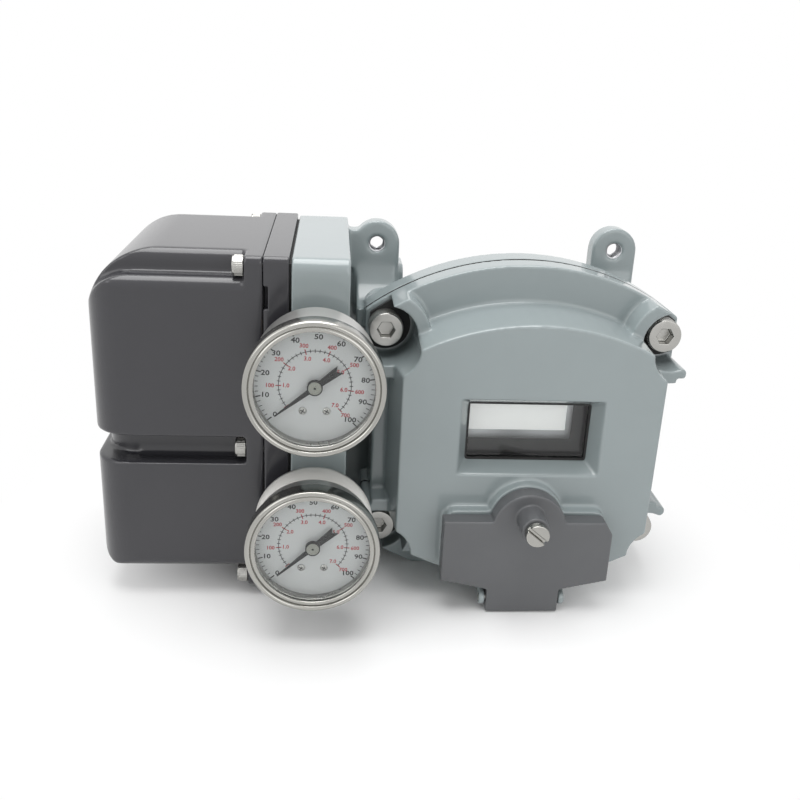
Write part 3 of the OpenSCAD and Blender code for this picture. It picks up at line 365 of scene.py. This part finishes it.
def mesh_of(name, bm, smooth=True):
    """Plain mesh from a bmesh, which it frees."""
    mesh = bpy.data.meshes.new(name)
    bmesh.ops.triangulate(bm, faces=[f for f in bm.faces if len(f.verts) > 4])
    bm.to_mesh(mesh)
    bm.free()
    if smooth:
        mesh.polygons.foreach_set("use_smooth", [True] * len(mesh.polygons))
    return mesh


def baked(holder):
    """Mesh of a helper object with its modifiers applied; the object goes."""
    bpy.context.view_layer.update()
    graph = bpy.context.evaluated_depsgraph_get()
    mesh = bpy.data.meshes.new_from_object(holder.evaluated_get(graph))
    bpy.data.objects.remove(holder)
    return mesh


def join(bm, mesh, ink=0):
    """Adds a mesh to a bmesh, with one material index for its faces; the mesh goes."""
    first = len(bm.faces)
    bm.from_mesh(mesh)
    bm.faces.ensure_lookup_table()
    for face in bm.faces[first:]:
        face.material_index = ink
    bpy.data.meshes.remove(mesh)


# Rounded copies of the CAD pieces


def merged_copy(node):
    """The node's solid as one skin of flat and curved faces."""
    bm = bmesh.new()
    bm.from_mesh(cad[node].data)
    bmesh.ops.remove_doubles(bm, verts=bm.verts, dist=WELD)
    bmesh.ops.dissolve_limit(bm, angle_limit=FLAT_ANGLE, verts=bm.verts, edges=bm.edges)
    return bm


def weigh_normals(obj):
    """Keeps flat faces flat where they meet rounded edges."""
    modifier = obj.modifiers.new("flat faces", "WEIGHTED_NORMAL")
    modifier.keep_sharp = True
    modifier.weight = 80


def rounded_piece(node, radius):
    """Copy of a node with its sharp edges rounded, in the node's place."""
    bm = merged_copy(node)
    sharp = [e for e in bm.edges if len(e.link_faces) == 2 and e.calc_face_angle(0) > SHARP_ANGLE]
    bmesh.ops.bevel(bm, geom=sharp, offset=radius, offset_type="OFFSET", segments=ROUND_STEPS, profile=0.5,
                    affect="EDGES", clamp_overlap=False)
    low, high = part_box(node)
    for vert in bm.verts:
        vert.co = [min(max(c, a), b) for c, a, b in zip(vert.co, low, high)]
    mesh = mesh_of(node + "_form", bm)
    slot = SLOT_OF[node]
    weigh_normals(add_piece(node + "_finished", mesh, FINISH[slot], BODY_OF[node], slot, node))


def cast_piece(node, grain, passes, kept):
    """Copy of a node as one cast skin, with soft edges and fillets, in the node's place."""
    slot = SLOT_OF[node]
    bm = merged_copy(node)
    holder = bpy.data.objects.new("cast", mesh_of("cast", bm))
    bpy.context.scene.collection.objects.link(holder)
    skin_over = holder.modifiers.new("skin", "REMESH")
    skin_over.mode = "VOXEL"
    skin_over.voxel_size = grain
    soften = holder.modifiers.new("fillets", "SMOOTH")
    soften.factor = 0.5
    soften.iterations = passes
    thin = holder.modifiers.new("flats", "DECIMATE")
    thin.ratio = kept
    mesh = baked(holder)
    low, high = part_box(node)
    for vert in mesh.vertices:
        vert.co = [min(max(c, a), b) for c, a, b in zip(vert.co, low, high)]
    mesh.polygons.foreach_set("use_smooth", [True] * len(mesh.polygons))
    weigh_normals(add_piece(node + "_finished", mesh, FINISH[slot], BODY_OF[node], slot, node))


def finish_cad_pieces():
    """Each CAD node that stays in view takes the finish of its slot."""
    for node, obj in cad.items():
        dress(obj, FINISH[SLOT_OF[node]])
    for gauge in GAUGES:
        dress(cad[gauge + "_gauge_case"], SATIN_STEEL)
        dress(cad[gauge + "_gauge_pointer"], POINTER_PAINT)


# Round pieces


def lathe(profile, centre, steps=96):
    """Skin turned about the Y axis through centre; profile holds radius and depth."""
    bm = bmesh.new()
    rings = []
    for radius, depth in profile:
        ring = []
        for i in range(steps):
            angle = 2 * math.pi * i / steps
            at = (centre.x + radius * math.cos(angle), centre.y + depth,
                  centre.z + radius * math.sin(angle))
            ring.append(bm.verts.new(at))
        rings.append(ring)
    for a, b in zip(rings, rings[1:] + rings[:1]):
        for i in range(steps):
            j = (i + 1) % steps
            bm.faces.new((a[i], a[j], b[j], b[i]))
    bmesh.ops.recalc_face_normals(bm, faces=bm.faces)
    return bm


def arc_points(centre, radius, start, end, count):
    """Points of an arc in a turned profile, with angles in degrees."""
    points = []
    for i in range(count + 1):
        angle = math.radians(start + (end - start) * i / count)
        points.append((centre[0] + radius * math.cos(angle), centre[1] + radius * math.sin(angle)))
    return points


def make_bezel(gauge):
    """Rolled bright ring round a gauge's lens."""
    low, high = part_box(gauge + "_gauge_bezel")
    centre = Vector(((low.x + high.x) / 2, low.y, (low.z + high.z) / 2))
    outer = (high.x - low.x) / 2
    length = high.y - low.y
    roll = 1.0 * MM
    edge = 0.5 * MM
    groove = 0.35 * MM
    groove_floor = 0.85 * MM
    lens_depth = 1.5 * MM
    inner = outer - 2.05 * MM
    lip = outer - 3.7 * MM
    profile = arc_points((outer - roll, roll), roll, 0, -150, 10)
    profile += [(outer - 2.0 * MM, groove_floor), (outer - 2.1 * MM, groove_floor)]
    profile.append((outer - 2.2 * MM, groove))
    profile += arc_points((lip + edge, groove + 0.55 * MM), edge, -90, -180, 5)
    profile += [(lip, lens_depth), (inner, lens_depth), (inner, length)]
    profile += arc_points((outer - edge, length - edge), edge, 90, 0, 4)
    bm = lathe(profile, centre)
    name = gauge + "_gauge_bezel"
    add_piece(name + "_finished", mesh_of(name, bm), FINISH["bright_steel"], "case", "bright_steel", name)


# Dials


def flat_text(bm, words, size, at, turn, ink, widen=1.0):
    """Adds numerals to a bmesh as flat faces in the dial's plane."""
    curve = bpy.data.curves.new("numeral", "FONT")
    curve.body = words
    curve.size = size
    curve.align_x = "CENTER"
    curve.align_y = "CENTER"
    curve.resolution_u = 2
    curve.offset = size * NUMERAL_WEIGHT
    holder = bpy.data.objects.new("numeral", curve)
    bpy.context.scene.collection.objects.link(holder)
    mesh = baked(holder)
    bpy.data.curves.remove(curve)
    mesh.transform(Matrix.Diagonal((widen, 1, 1, 1)))
    upright = Matrix.Rotation(math.pi / 2, 4, "X")
    mesh.transform(Matrix.Translation(at) @ Matrix.Rotation(turn, 4, "Y") @ upright)
    join(bm, mesh, ink)


def dial_angle(share):
    """Angle on a dial, clockwise from straight left, for a share of full scale."""
    return math.radians(DIAL_START + DIAL_SWEEP * share)


def dial_point(centre, radius, angle):
    """Point on the dial's face."""
    return Vector((centre.x - radius * math.cos(angle), centre.y, centre.z + radius * math.sin(angle)))


def tick_tree():
    """Geometry nodes that set a row of ticks along a dial's arc."""
    tree = bpy.data.node_groups.new("dial_ticks", "GeometryNodeTree")
    sockets = (("Count", "NodeSocketInt", 11), ("Radius", "NodeSocketFloat", 0.015),
               ("Length", "NodeSocketFloat", 0.001), ("Width", "NodeSocketFloat", 0.0003),
               ("Start", "NodeSocketFloat", 0.0), ("Sweep", "NodeSocketFloat", 4.6))
    for label, kind, value in sockets:
        tree.interface.new_socket(label, in_out="INPUT", socket_type=kind).default_value = value
    tree.interface.new_socket("Ink", in_out="INPUT", socket_type="NodeSocketMaterial")
    tree.interface.new_socket("Geometry", in_out="OUTPUT", socket_type="NodeSocketGeometry")
    add = tree.nodes.new
    start = add("NodeGroupInput")
    end = add("NodeGroupOutput")
    points = add("GeometryNodePoints")
    index = add("GeometryNodeInputIndex")
    share = add("ShaderNodeMath")
    share.operation = "DIVIDE"
    last = add("ShaderNodeMath")
    last.operation = "SUBTRACT"
    last.inputs[1].default_value = 1
    turn = add("ShaderNodeMath")
    turn.operation = "MULTIPLY_ADD"
    link = tree.links.new
    link(start.outputs["Count"], points.inputs["Count"])
    link(start.outputs["Count"], last.inputs[0])
    link(index.outputs[0], share.inputs[0])
    link(last.outputs[0], share.inputs[1])
    link(share.outputs[0], turn.inputs[0])
    link(start.outputs["Sweep"], turn.inputs[1])
    link(start.outputs["Start"], turn.inputs[2])
    cosine = add("ShaderNodeMath")
    cosine.operation = "COSINE"
    sine = add("ShaderNodeMath")
    sine.operation = "SINE"
    link(turn.outputs[0], cosine.inputs[0])
    link(turn.outputs[0], sine.inputs[0])
    left = add("ShaderNodeMath")
    left.operation = "MULTIPLY"
    link(cosine.outputs[0], left.inputs[0])
    link(start.outputs["Radius"], left.inputs[1])
    flip = add("ShaderNodeMath")
    flip.operation = "MULTIPLY"
    flip.inputs[1].default_value = -1
    link(left.outputs[0], flip.inputs[0])
    rise = add("ShaderNodeMath")
    rise.operation = "MULTIPLY"
    link(sine.outputs[0], rise.inputs[0])
    link(start.outputs["Radius"], rise.inputs[1])
    where = add("ShaderNodeCombineXYZ")
    link(flip.outputs[0], where.inputs["X"])
    link(rise.outputs[0], where.inputs["Z"])
    link(where.outputs[0], points.inputs["Position"])
    tick = add("GeometryNodeMeshGrid")
    tick.inputs["Vertices X"].default_value = 2
    tick.inputs["Vertices Y"].default_value = 2
    link(start.outputs["Length"], tick.inputs["Size X"])
    link(start.outputs["Width"], tick.inputs["Size Y"])
    upright = add("GeometryNodeTransform")
    upright.inputs["Rotation"].default_value = (math.pi / 2, 0, 0)
    link(tick.outputs["Mesh"], upright.inputs["Geometry"])
    spin = add("ShaderNodeCombineXYZ")
    link(turn.outputs[0], spin.inputs["Y"])
    copies = add("GeometryNodeInstanceOnPoints")
    link(points.outputs[0], copies.inputs["Points"])
    link(upright.outputs["Geometry"], copies.inputs["Instance"])
    link(spin.outputs[0], copies.inputs["Rotation"])
    real = add("GeometryNodeRealizeInstances")
    ink = add("GeometryNodeSetMaterial")
    link(copies.outputs["Instances"], real.inputs["Geometry"])
    link(real.outputs["Geometry"], ink.inputs["Geometry"])
    link(start.outputs["Ink"], ink.inputs["Material"])
    link(ink.outputs["Geometry"], end.inputs["Geometry"])
    return tree


TICKS = tick_tree()


def set_input(modifier, tree, label, value):
    """Sets a node modifier's input by its label."""
    for item in tree.interface.items_tree:
        if item.item_type == "SOCKET" and item.in_out == "INPUT" and item.name == label:
            modifier[item.identifier] = value


def tick_row(centre, count, radius, length, width, ink, tilt):
    """Mesh of a row of ticks on a dial."""
    holder = bpy.data.objects.new("ticks", bpy.data.meshes.new("ticks"))
    bpy.context.scene.collection.objects.link(holder)
    modifier = holder.modifiers.new("ticks", "NODES")
    modifier.node_group = TICKS
    values = {"Count": count, "Radius": radius, "Length": length, "Width": width, "Ink": ink,
              "Start": dial_angle(0) + tilt, "Sweep": math.radians(DIAL_SWEEP)}
    for label, value in values.items():
        set_input(modifier, TICKS, label, value)
    mesh = baked(holder)
    mesh.transform(Matrix.Translation(centre))
    return mesh


def dial_centre(gauge, lift=INK_LIFT):
    """Centre of a gauge's dial, just in front of its face."""
    low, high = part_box(gauge + "_gauge_dial")
    return Vector(((low.x + high.x) / 2, low.y - lift, (low.z + high.z) / 2))


def scale_line(centre, radius, width, tilt, steps=96):
    """Thin arc that joins the ticks of the inner scale."""
    bm = bmesh.new()
    edges = (radius - width / 2, radius + width / 2)
    pairs = []
    for i in range(steps + 1):
        angle = dial_angle(i / steps) + tilt
        pairs.append([bm.verts.new(dial_point(centre, edge, angle)) for edge in edges])
    for (a, b), (c, d) in zip(pairs, pairs[1:]):
        bm.faces.new((a, b, d, c))
    return bm


def make_dial_print(gauge):
    """Scales and numerals of one dial, printed on its face."""
    centre = dial_centre(gauge)
    tilt = DIAL_TILT[gauge]
    bm = scale_line(centre, INNER_SCALE_R, THIN_LINE, tilt)
    inks = (BLACK_INK, RED_INK)
    for count, radius, length, width, ink in TICK_ROWS:
        join(bm, tick_row(centre, count, radius, length, width, inks[ink], tilt), ink)
    for i in range(11):
        angle = dial_angle(i / 10) + tilt
        flat_text(bm, str(10 * i), BLACK_HEIGHT, dial_point(centre, BLACK_REACH, angle), tilt, 0, NUMERAL_WIDTH)
    for i in range(1, 8):
        angle = dial_angle(i / 7) + tilt
        reach = RED_OUTER_REACH + RED_SIDE_REACH * abs(math.cos(angle))
        flat_text(bm, str(100 * i), RED_HEIGHT, dial_point(centre, reach, angle), tilt, 1)
        flat_text(bm, "%.1f" % i, RED_HEIGHT, dial_point(centre, RED_INNER_REACH, angle), tilt, 1)
    mesh = mesh_of(gauge + "_dial_print", bm, smooth=False)
    inked = [polygon.material_index for polygon in mesh.polygons]
    obj = add_piece(gauge + "_dial_print", mesh, BLACK_INK, "case", "dial_face")
    obj.data.materials.append(RED_INK)
    mesh.polygons.foreach_set("material_index", inked)


def dial_screw_places(gauge):
    """Places of the two screws that hold a dial."""
    centre = dial_centre(gauge, 0.0)
    return [centre + Vector((side * DIAL_SCREW_X, 0, -DIAL_SCREW_DROP)) for side in (-1, 1)]


def make_dial_screws(gauge):
    """Two small domed screws that hold the dial."""
    profile = [(0.02 * MM, -0.55 * MM), (0.7 * MM, -0.5 * MM), (1.2 * MM, -0.3 * MM), (1.4 * MM, 0.05 * MM),
               (0.02 * MM, 0.05 * MM)]
    bm = bmesh.new()
    for at in dial_screw_places(gauge):
        join(bm, mesh_of("dial screw", lathe(profile, at, 24)))
    name = gauge + "_dial_screws"
    add_piece(name, mesh_of(name, bm), FINISH["steel"], "case", "steel")


def make_dial_screw_slot_shade(gauge):
    """Black ink bars on the dial screws' heads, painted shade that stands in for their cross slots."""
    half, thick = 0.85 * MM, 0.16 * MM
    front, back = -0.62 * MM, -0.4 * MM
    soft = 0.04 * MM
    bm = bmesh.new()
    for at in dial_screw_places(gauge):
        for turn in (30, 120):
            # Painted shade: each bar is a black plate on the head where a slot's shade would fall, not a cut slot.
            bar = soft_plate(Vector((-half, front, -thick)), Vector((half, back, thick)), soft)
            bmesh.ops.rotate(bar, verts=bar.verts, matrix=Matrix.Rotation(math.radians(turn), 3, "Y"))
            bmesh.ops.translate(bar, verts=bar.verts, vec=at)
            join(bm, mesh_of("slot", bar))
    name = gauge + "_dial_screw_slot_shade"
    add_piece(name, mesh_of(name, bm), BLACK_INK, "case", "black_plastic")


def make_hub_cap(gauge):
    """Flat metal cap on the pointer's hub, with a pin hole in its middle."""
    place = joint_place(gauge + "_pointer_turn")
    centre = Vector((place.x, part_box(gauge + "_gauge_pointer")[0].y, place.z))
    profile = [(0.02 * MM, 0.45 * MM), (0.4 * MM, 0.45 * MM), (0.42 * MM, -0.18 * MM), (0.6 * MM, -0.2 * MM),
               (1.9 * MM, -0.2 * MM), (2.15 * MM, -0.14 * MM), (2.25 * MM, 0.02 * MM), (2.25 * MM, 0.6 * MM),
               (0.02 * MM, 0.6 * MM)]
    name = gauge + "_hub_cap"
    mesh = mesh_of(name, lathe(profile, centre, 64))
    add_piece(name, mesh, HUB_METAL, gauge + "_pointer", "dial_face")


def make_lens_ring(gauge):
    """Steel ring between the lens and the dial."""
    low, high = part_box(gauge + "_gauge_lens")
    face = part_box(gauge + "_gauge_dial")[0].y
    slack = 0.02 * MM
    outer = 20.64 * MM
    centre = Vector(((low.x + high.x) / 2, high.y + slack, (low.z + high.z) / 2))
    depth = face - centre.y - slack
    profile = [(19.9 * MM, 0.3 * MM), (20.2 * MM, 0), (outer, 0), (outer, depth), (20.0 * MM, depth)]
    name = gauge + "_lens_ring"
    add_piece(name, mesh_of(name, lathe(profile, centre)), FINISH["steel"], "case", "steel")


def make_paper_band():
    """Blank paper band round the back of the lower gauge's case."""
    low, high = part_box("lower_gauge_case")
    radius = (high.x - low.x) / 2
    centre = Vector(((low.x + high.x) / 2, high.y - 10.5 * MM, (low.z + high.z) / 2))
    steps = 80
    start, sweep = -20, 220
    section = ((0.01 * MM, 0), (0.1 * MM, 0.1 * MM), (0.1 * MM, 9.3 * MM), (0.01 * MM, 9.4 * MM))
    bm = bmesh.new()
    rows = []
    for i in range(steps + 1):
        angle = math.radians(start + sweep * i / steps)
        aim = Vector((math.cos(angle), 0, math.sin(angle)))
        rows.append([bm.verts.new(centre + aim * (radius + lift) + Vector((0, along, 0)))
                     for lift, along in section])
    for a, b in zip(rows, rows[1:]):
        for j in range(4):
            k = (j + 1) % 4
            bm.faces.new((a[j], a[k], b[k], b[j]))
    bm.faces.new(rows[0])
    bm.faces.new(rows[-1])
    bmesh.ops.recalc_face_normals(bm, faces=bm.faces)
    add_piece("lower_gauge_paper_band", mesh_of("lower_gauge_paper_band", bm), PAPER, "case", "dial_face")


# Tapped holes


def thread_skin(start, along, radius, length, pitch, round_steps=48):
    """Ring with a screw thread on its inside, from start in the direction along."""
    side = Vector((0, 0, 1)).cross(along).normalized()
    up = along.cross(side)
    count = int(length / pitch * THREAD_STEPS)
    bm = bmesh.new()
    rows = []
    for j in range(round_steps):
        turn = j / round_steps
        angle = 2 * math.pi * turn
        aim = side * math.cos(angle) + up * math.sin(angle)
        row = []
        for i in range(count + 1):
            phase = (i / THREAD_STEPS - turn) % 1.0
            depth = THREAD_CREST * pitch * (1 - abs(2 * phase - 1))
            row.append(bm.verts.new(start + along * (length * i / count) + aim * (radius - depth)))
        row.append(bm.verts.new(start + along * length + aim * (radius + THREAD_SEAT)))
        row.append(bm.verts.new(start + aim * (radius + THREAD_SEAT)))
        rows.append(row)
    for a, b in zip(rows, rows[1:] + rows[:1]):
        for i in range(len(a)):
            k = (i + 1) % len(a)
            bm.faces.new((a[i], a[k], b[k], b[i]))
    bmesh.ops.recalc_face_normals(bm, faces=bm.faces)
    return bm


def make_threads():
    """Threads in the lugs, the rear mounting holes, the air ports and the open conduit entry."""
    dims_of = {m["name"]: m["dims"] for m in record["mounts"]}
    to_front, to_back, to_left = Vector((0, -1, 0)), Vector((0, 1, 0)), Vector((-1, 0, 0))
    runs = []
    for name in ("lug_left", "lug_right"):
        dims = dims_of[name]
        half = dims["length_mm"] * MM / 2 - THREAD_IN
        start = mount_place(name) - to_back * half
        runs.append((start, to_back, dims["r_mm"] * MM, 2 * half, LUG_PITCH))
    for name in ("upper_air_port", "lower_air_port"):
        dims = dims_of[name]
        place = mount_place(name)
        start = Vector((place.x, -THREAD_IN, place.z))
        runs.append((start, to_front, dims["r_mm"] * MM, dims["length_mm"] * MM - PORT_PLAIN_END, PORT_PITCH))
    dims = dims_of["rear_mount"]
    half_x, half_z = dims["spacing_x_mm"] * MM / 2, dims["spacing_y_mm"] * MM / 2
    for x in (-half_x, half_x):
        for z in (-half_z, half_z):
            start = Vector((x, -THREAD_IN, z))
            runs.append((start, to_front, dims["hole_r_mm"] * MM, MOUNT_THREAD_LENGTH, MOUNT_PITCH))
    dims = dims_of["conduit_entry"]
    half = dims["length_mm"] * MM / 2 - THREAD_IN
    start = mount_place("conduit_entry") - to_left * half
    runs.append((start, to_left, dims["r_mm"] * MM, 2 * half, CONDUIT_PITCH))
    bm = bmesh.new()
    for run in runs:
        join(bm, mesh_of("thread", thread_skin(*run)))
    name = "tapped_threads"
    add_piece(name, mesh_of(name, bm), FINISH["bare_aluminium"], "case", "bare_aluminium")


# Screw heads


def ridge_tree():
    """Geometry nodes that set fine ridges round a screw's head."""
    tree = bpy.data.node_groups.new("head_ridges", "GeometryNodeTree")
    sockets = (("Count", "NodeSocketInt", 48), ("Radius", "NodeSocketFloat", 0.0065),
               ("Length", "NodeSocketFloat", 0.006), ("Thickness", "NodeSocketFloat", 0.0002))
    for label, kind, value in sockets:
        tree.interface.new_socket(label, in_out="INPUT", socket_type=kind).default_value = value
    tree.interface.new_socket("Metal", in_out="INPUT", socket_type="NodeSocketMaterial")
    tree.interface.new_socket("Geometry", in_out="OUTPUT", socket_type="NodeSocketGeometry")
    add = tree.nodes.new
    link = tree.links.new
    start = add("NodeGroupInput")
    end = add("NodeGroupOutput")
    ring = add("GeometryNodeMeshCircle")
    link(start.outputs["Count"], ring.inputs["Vertices"])
    link(start.outputs["Radius"], ring.inputs["Radius"])
    ridge = add("GeometryNodeMeshCylinder")
    ridge.inputs["Vertices"].default_value = 6
    link(start.outputs["Thickness"], ridge.inputs["Radius"])
    link(start.outputs["Length"], ridge.inputs["Depth"])
    copies = add("GeometryNodeInstanceOnPoints")
    link(ring.outputs["Mesh"], copies.inputs["Points"])
    link(ridge.outputs["Mesh"], copies.inputs["Instance"])
    real = add("GeometryNodeRealizeInstances")
    metal = add("GeometryNodeSetMaterial")
    link(copies.outputs["Instances"], real.inputs["Geometry"])
    link(real.outputs["Geometry"], metal.inputs["Geometry"])
    link(start.outputs["Metal"], metal.inputs["Material"])
    link(metal.outputs["Geometry"], end.inputs["Geometry"])
    return tree


RIDGES = ridge_tree()


def ridge_ring(count, radius, length, thickness):
    """Mesh of one ring of ridges about the Z axis."""
    holder = bpy.data.objects.new("ridges", bpy.data.meshes.new("ridges"))
    bpy.context.scene.collection.objects.link(holder)
    modifier = holder.modifiers.new("ridges", "NODES")
    modifier.node_group = RIDGES
    values = {"Count": count, "Radius": radius, "Length": length, "Thickness": thickness,
              "Metal": FINISH["steel"]}
    for label, value in values.items():
        set_input(modifier, RIDGES, label, value)
    return baked(holder)


def make_head_ridges(name, places, turn, count, radius, length, thickness):
    """Ridges round a set of screw heads, as one piece."""
    bm = bmesh.new()
    for place in places:
        mesh = ridge_ring(count, radius, length, thickness)
        mesh.transform(Matrix.Translation(place) @ turn)
        join(bm, mesh)
    add_piece(name, mesh_of(name, bm, smooth=False), FINISH["steel"], "case", "steel")


def make_screw_ridges():
    """Ridges of the front cover's and side cover's screws."""
    low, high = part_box("cover_screws")
    r = COVER_HEAD_R
    mid_y = low.y + COVER_HEAD_H * RIDGE_MIDDLE
    places = [Vector((x, mid_y, z)) for x in (low.x + r, high.x - r) for z in (low.z + r, high.z - r)]
    make_head_ridges("cover_screw_ridges", places, Matrix.Rotation(math.pi / 2, 4, "X"), 52, r - 0.05 * MM,
                     COVER_HEAD_H * RIDGE_LENGTH, 0.22 * MM)
    low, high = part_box("pneumatic_cover_screws")
    r = SIDE_HEAD_R
    mid_x = low.x + SIDE_HEAD_H * RIDGE_MIDDLE
    front, back = low.y + r, high.y - r
    bottom, top = low.z + r, high.z - r
    spots = [(front, top), (front, MID_SCREW_Z), (front, bottom), (back, top), (back, bottom)]
    places = [Vector((mid_x, y, z)) for y, z in spots]
    make_head_ridges("side_screw_ridges", places, Matrix.Rotation(math.pi / 2, 4, "Y"), 32, r - 0.04 * MM,
                     SIDE_HEAD_H * RIDGE_LENGTH, 0.16 * MM)


# Display behind the window


def soft_plate(low, high, round_r):
    """Flat plate between two corners with softened edges."""
    bm = bmesh.new()
    bmesh.ops.create_cube(bm, size=1.0)
    middle = (low + high) / 2
    size = high - low
    bmesh.ops.transform(bm, verts=bm.verts, matrix=Matrix.Translation(middle) @ Matrix.Diagonal((*size, 1)))
    bmesh.ops.bevel(bm, geom=bm.edges[:], offset=round_r, offset_type="OFFSET", segments=ROUND_STEPS,
                    profile=0.5, affect="EDGES", clamp_overlap=False)
    return bm


def make_display():
    """Dark frame, pale reading field and the metal edge round it on the display."""
    low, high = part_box("display_panel")
    margin = 2.2 * MM
    plates = {
        "display_frame": (Vector((low.x, low.y - 0.5 * MM, low.z)),
                          Vector((high.x, low.y + 0.2 * MM, high.z)), 0.2 * MM, "black_plastic"),
        # The reading field takes the display finish, whose glow is painted light.
        "display_field": (Vector((low.x + margin, low.y - 0.8 * MM, low.z + 11.0 * MM)),
                          Vector((high.x - 9.0 * MM, low.y - 0.4 * MM, high.z - margin)), 0.15 * MM, "display"),
        "display_edge": (Vector((low.x + margin, low.y - 0.7 * MM, low.z + 7.4 * MM)),
                         Vector((high.x - 6.6 * MM, low.y - 0.45 * MM, high.z - margin)), 0.1 * MM,
                         "bare_aluminium"),
    }
    for name, (near, far, soft, slot) in plates.items():
        add_piece(name, mesh_of(name, soft_plate(near, far, soft)), FINISH[slot], "case", slot)


# Studio


def add_camera():
    """Camera at the photograph's place, turn and lens."""
    pitch, yaw, roll = CAMERA_PITCH, CAMERA_YAW, CAMERA_ROLL
    ahead = Vector((math.sin(yaw) * math.cos(pitch), math.cos(yaw) * math.cos(pitch), -math.sin(pitch)))
    right = Vector((math.cos(yaw), -math.sin(yaw), 0))
    up = right.cross(ahead)
    right_rolled = right * math.cos(roll) + up * math.sin(roll)
    up_rolled = up * math.cos(roll) - right * math.sin(roll)
    data = bpy.data.cameras.new("photo_camera")
    data.lens = CAMERA_LENS
    data.sensor_width = 36
    data.sensor_fit = "HORIZONTAL"
    data.clip_start = 0.01
    camera = bpy.data.objects.new("photo_camera", data)
    bpy.context.scene.collection.objects.link(camera)
    turn = Matrix((right_rolled, up_rolled, -ahead)).transposed()
    camera.matrix_world = Matrix.Translation(CAMERA_AT) @ turn.to_4x4()
    bpy.context.scene.camera = camera


def add_softbox(name, at, aim, size, watts):
    """Rectangular area lamp that points at aim."""
    data = bpy.data.lights.new(name, "AREA")
    data.shape = "RECTANGLE"
    data.size, data.size_y = size
    data.energy = watts
    lamp = bpy.data.objects.new(name, data)
    lamp.location = at
    lamp.rotation_euler = (Vector(aim) - Vector(at)).to_track_quat("-Z", "Y").to_euler()
    bpy.context.scene.collection.objects.link(lamp)


def white_where_seen(tree, plain, seen):
    """Mixes two shaders so that camera, glossy and glass rays see the second."""
    path = tree.nodes.new("ShaderNodeLightPath")
    either = math_node(tree, "MAXIMUM", path.outputs["Is Camera Ray"], path.outputs["Is Glossy Ray"])
    either = math_node(tree, "MAXIMUM", either, path.outputs["Is Transmission Ray"])
    mix = tree.nodes.new("ShaderNodeMixShader")
    tree.links.new(either, mix.inputs[0])
    tree.links.new(plain, mix.inputs[1])
    tree.links.new(seen, mix.inputs[2])
    return mix.outputs[0]


def floor_finish():
    """Pale floor that turns plain white away from the part, where it is only seen."""
    material = skin("pale_floor", (0.88, 0.88, 0.88), 0.7, grain=300.0, bump=0.0, vary=0.01)
    tree = material.node_tree
    plain = tree.nodes["Principled BSDF"].outputs[0]
    where = tree.nodes.new("ShaderNodeTexCoord")
    away = tree.nodes.new("ShaderNodeVectorMath")
    away.operation = "DISTANCE"
    away.inputs[1].default_value = (*STUDIO_MIDDLE[:2], cad_bounds[0][2])
    tree.links.new(where.outputs["Object"], away.inputs[0])
    far = remap(tree, away.outputs["Value"], *FLOOR_FADE, 0.0, 1.0)
    white = tree.nodes.new("ShaderNodeEmission")
    fade = tree.nodes.new("ShaderNodeMixShader")
    tree.links.new(far, fade.inputs[0])
    tree.links.new(plain, fade.inputs[1])
    tree.links.new(white.outputs[0], fade.inputs[2])
    out = tree.nodes["Material Output"]
    tree.links.new(white_where_seen(tree, plain, fade.outputs[0]), out.inputs["Surface"])
    return material


def add_studio():
    """White surroundings, pale floor and soft lamps."""
    scene = bpy.context.scene
    scene.view_settings.view_transform = "Standard"
    world = bpy.data.worlds.new("studio")
    scene.world = world
    world.use_nodes = True
    tree = world.node_tree
    light = tree.nodes["Background"]
    light.inputs["Color"].default_value = (1, 1, 1, 1)
    light.inputs["Strength"].default_value = WORLD_LIGHT
    seen = tree.nodes.new("ShaderNodeBackground")
    seen.inputs["Color"].default_value = (1, 1, 1, 1)
    seen.inputs["Strength"].default_value = 1.0
    out = tree.nodes["World Output"]
    tree.links.new(white_where_seen(tree, light.outputs[0], seen.outputs[0]), out.inputs["Surface"])

    floor_z = cad_bounds[0][2] - FLOOR_DROP
    bm = bmesh.new()
    bmesh.ops.create_grid(bm, x_segments=1, y_segments=1, size=FLOOR_HALF)
    bmesh.ops.translate(bm, verts=bm.verts, vec=(0, 0, floor_z))
    floor = bpy.data.objects.new("floor", mesh_of("floor", bm, smooth=False))
    scene.collection.objects.link(floor)
    dress(floor, floor_finish())

    for name, (at, size, watts) in LAMPS.items():
        add_softbox(name, at, STUDIO_MIDDLE, size, watts)


add_camera()
add_studio()
finish_cad_pieces()
for node, (grain, passes, kept) in CAST_SKINS.items():
    cast_piece(node, grain, passes, kept)
rounded_piece("pneumatic_base", PLATE_ROUND)
rounded_piece("cover_screws", HEAD_ROUND)
rounded_piece("button_cover_screw", HEAD_ROUND)
rounded_piece("pneumatic_cover_screws", HEAD_ROUND)
for gauge in GAUGES:
    make_bezel(gauge)
    make_dial_print(gauge)
    make_dial_screws(gauge)
    make_dial_screw_slot_shade(gauge)
    make_hub_cap(gauge)
    make_lens_ring(gauge)
make_paper_band()
make_threads()
make_screw_ridges()
make_display()
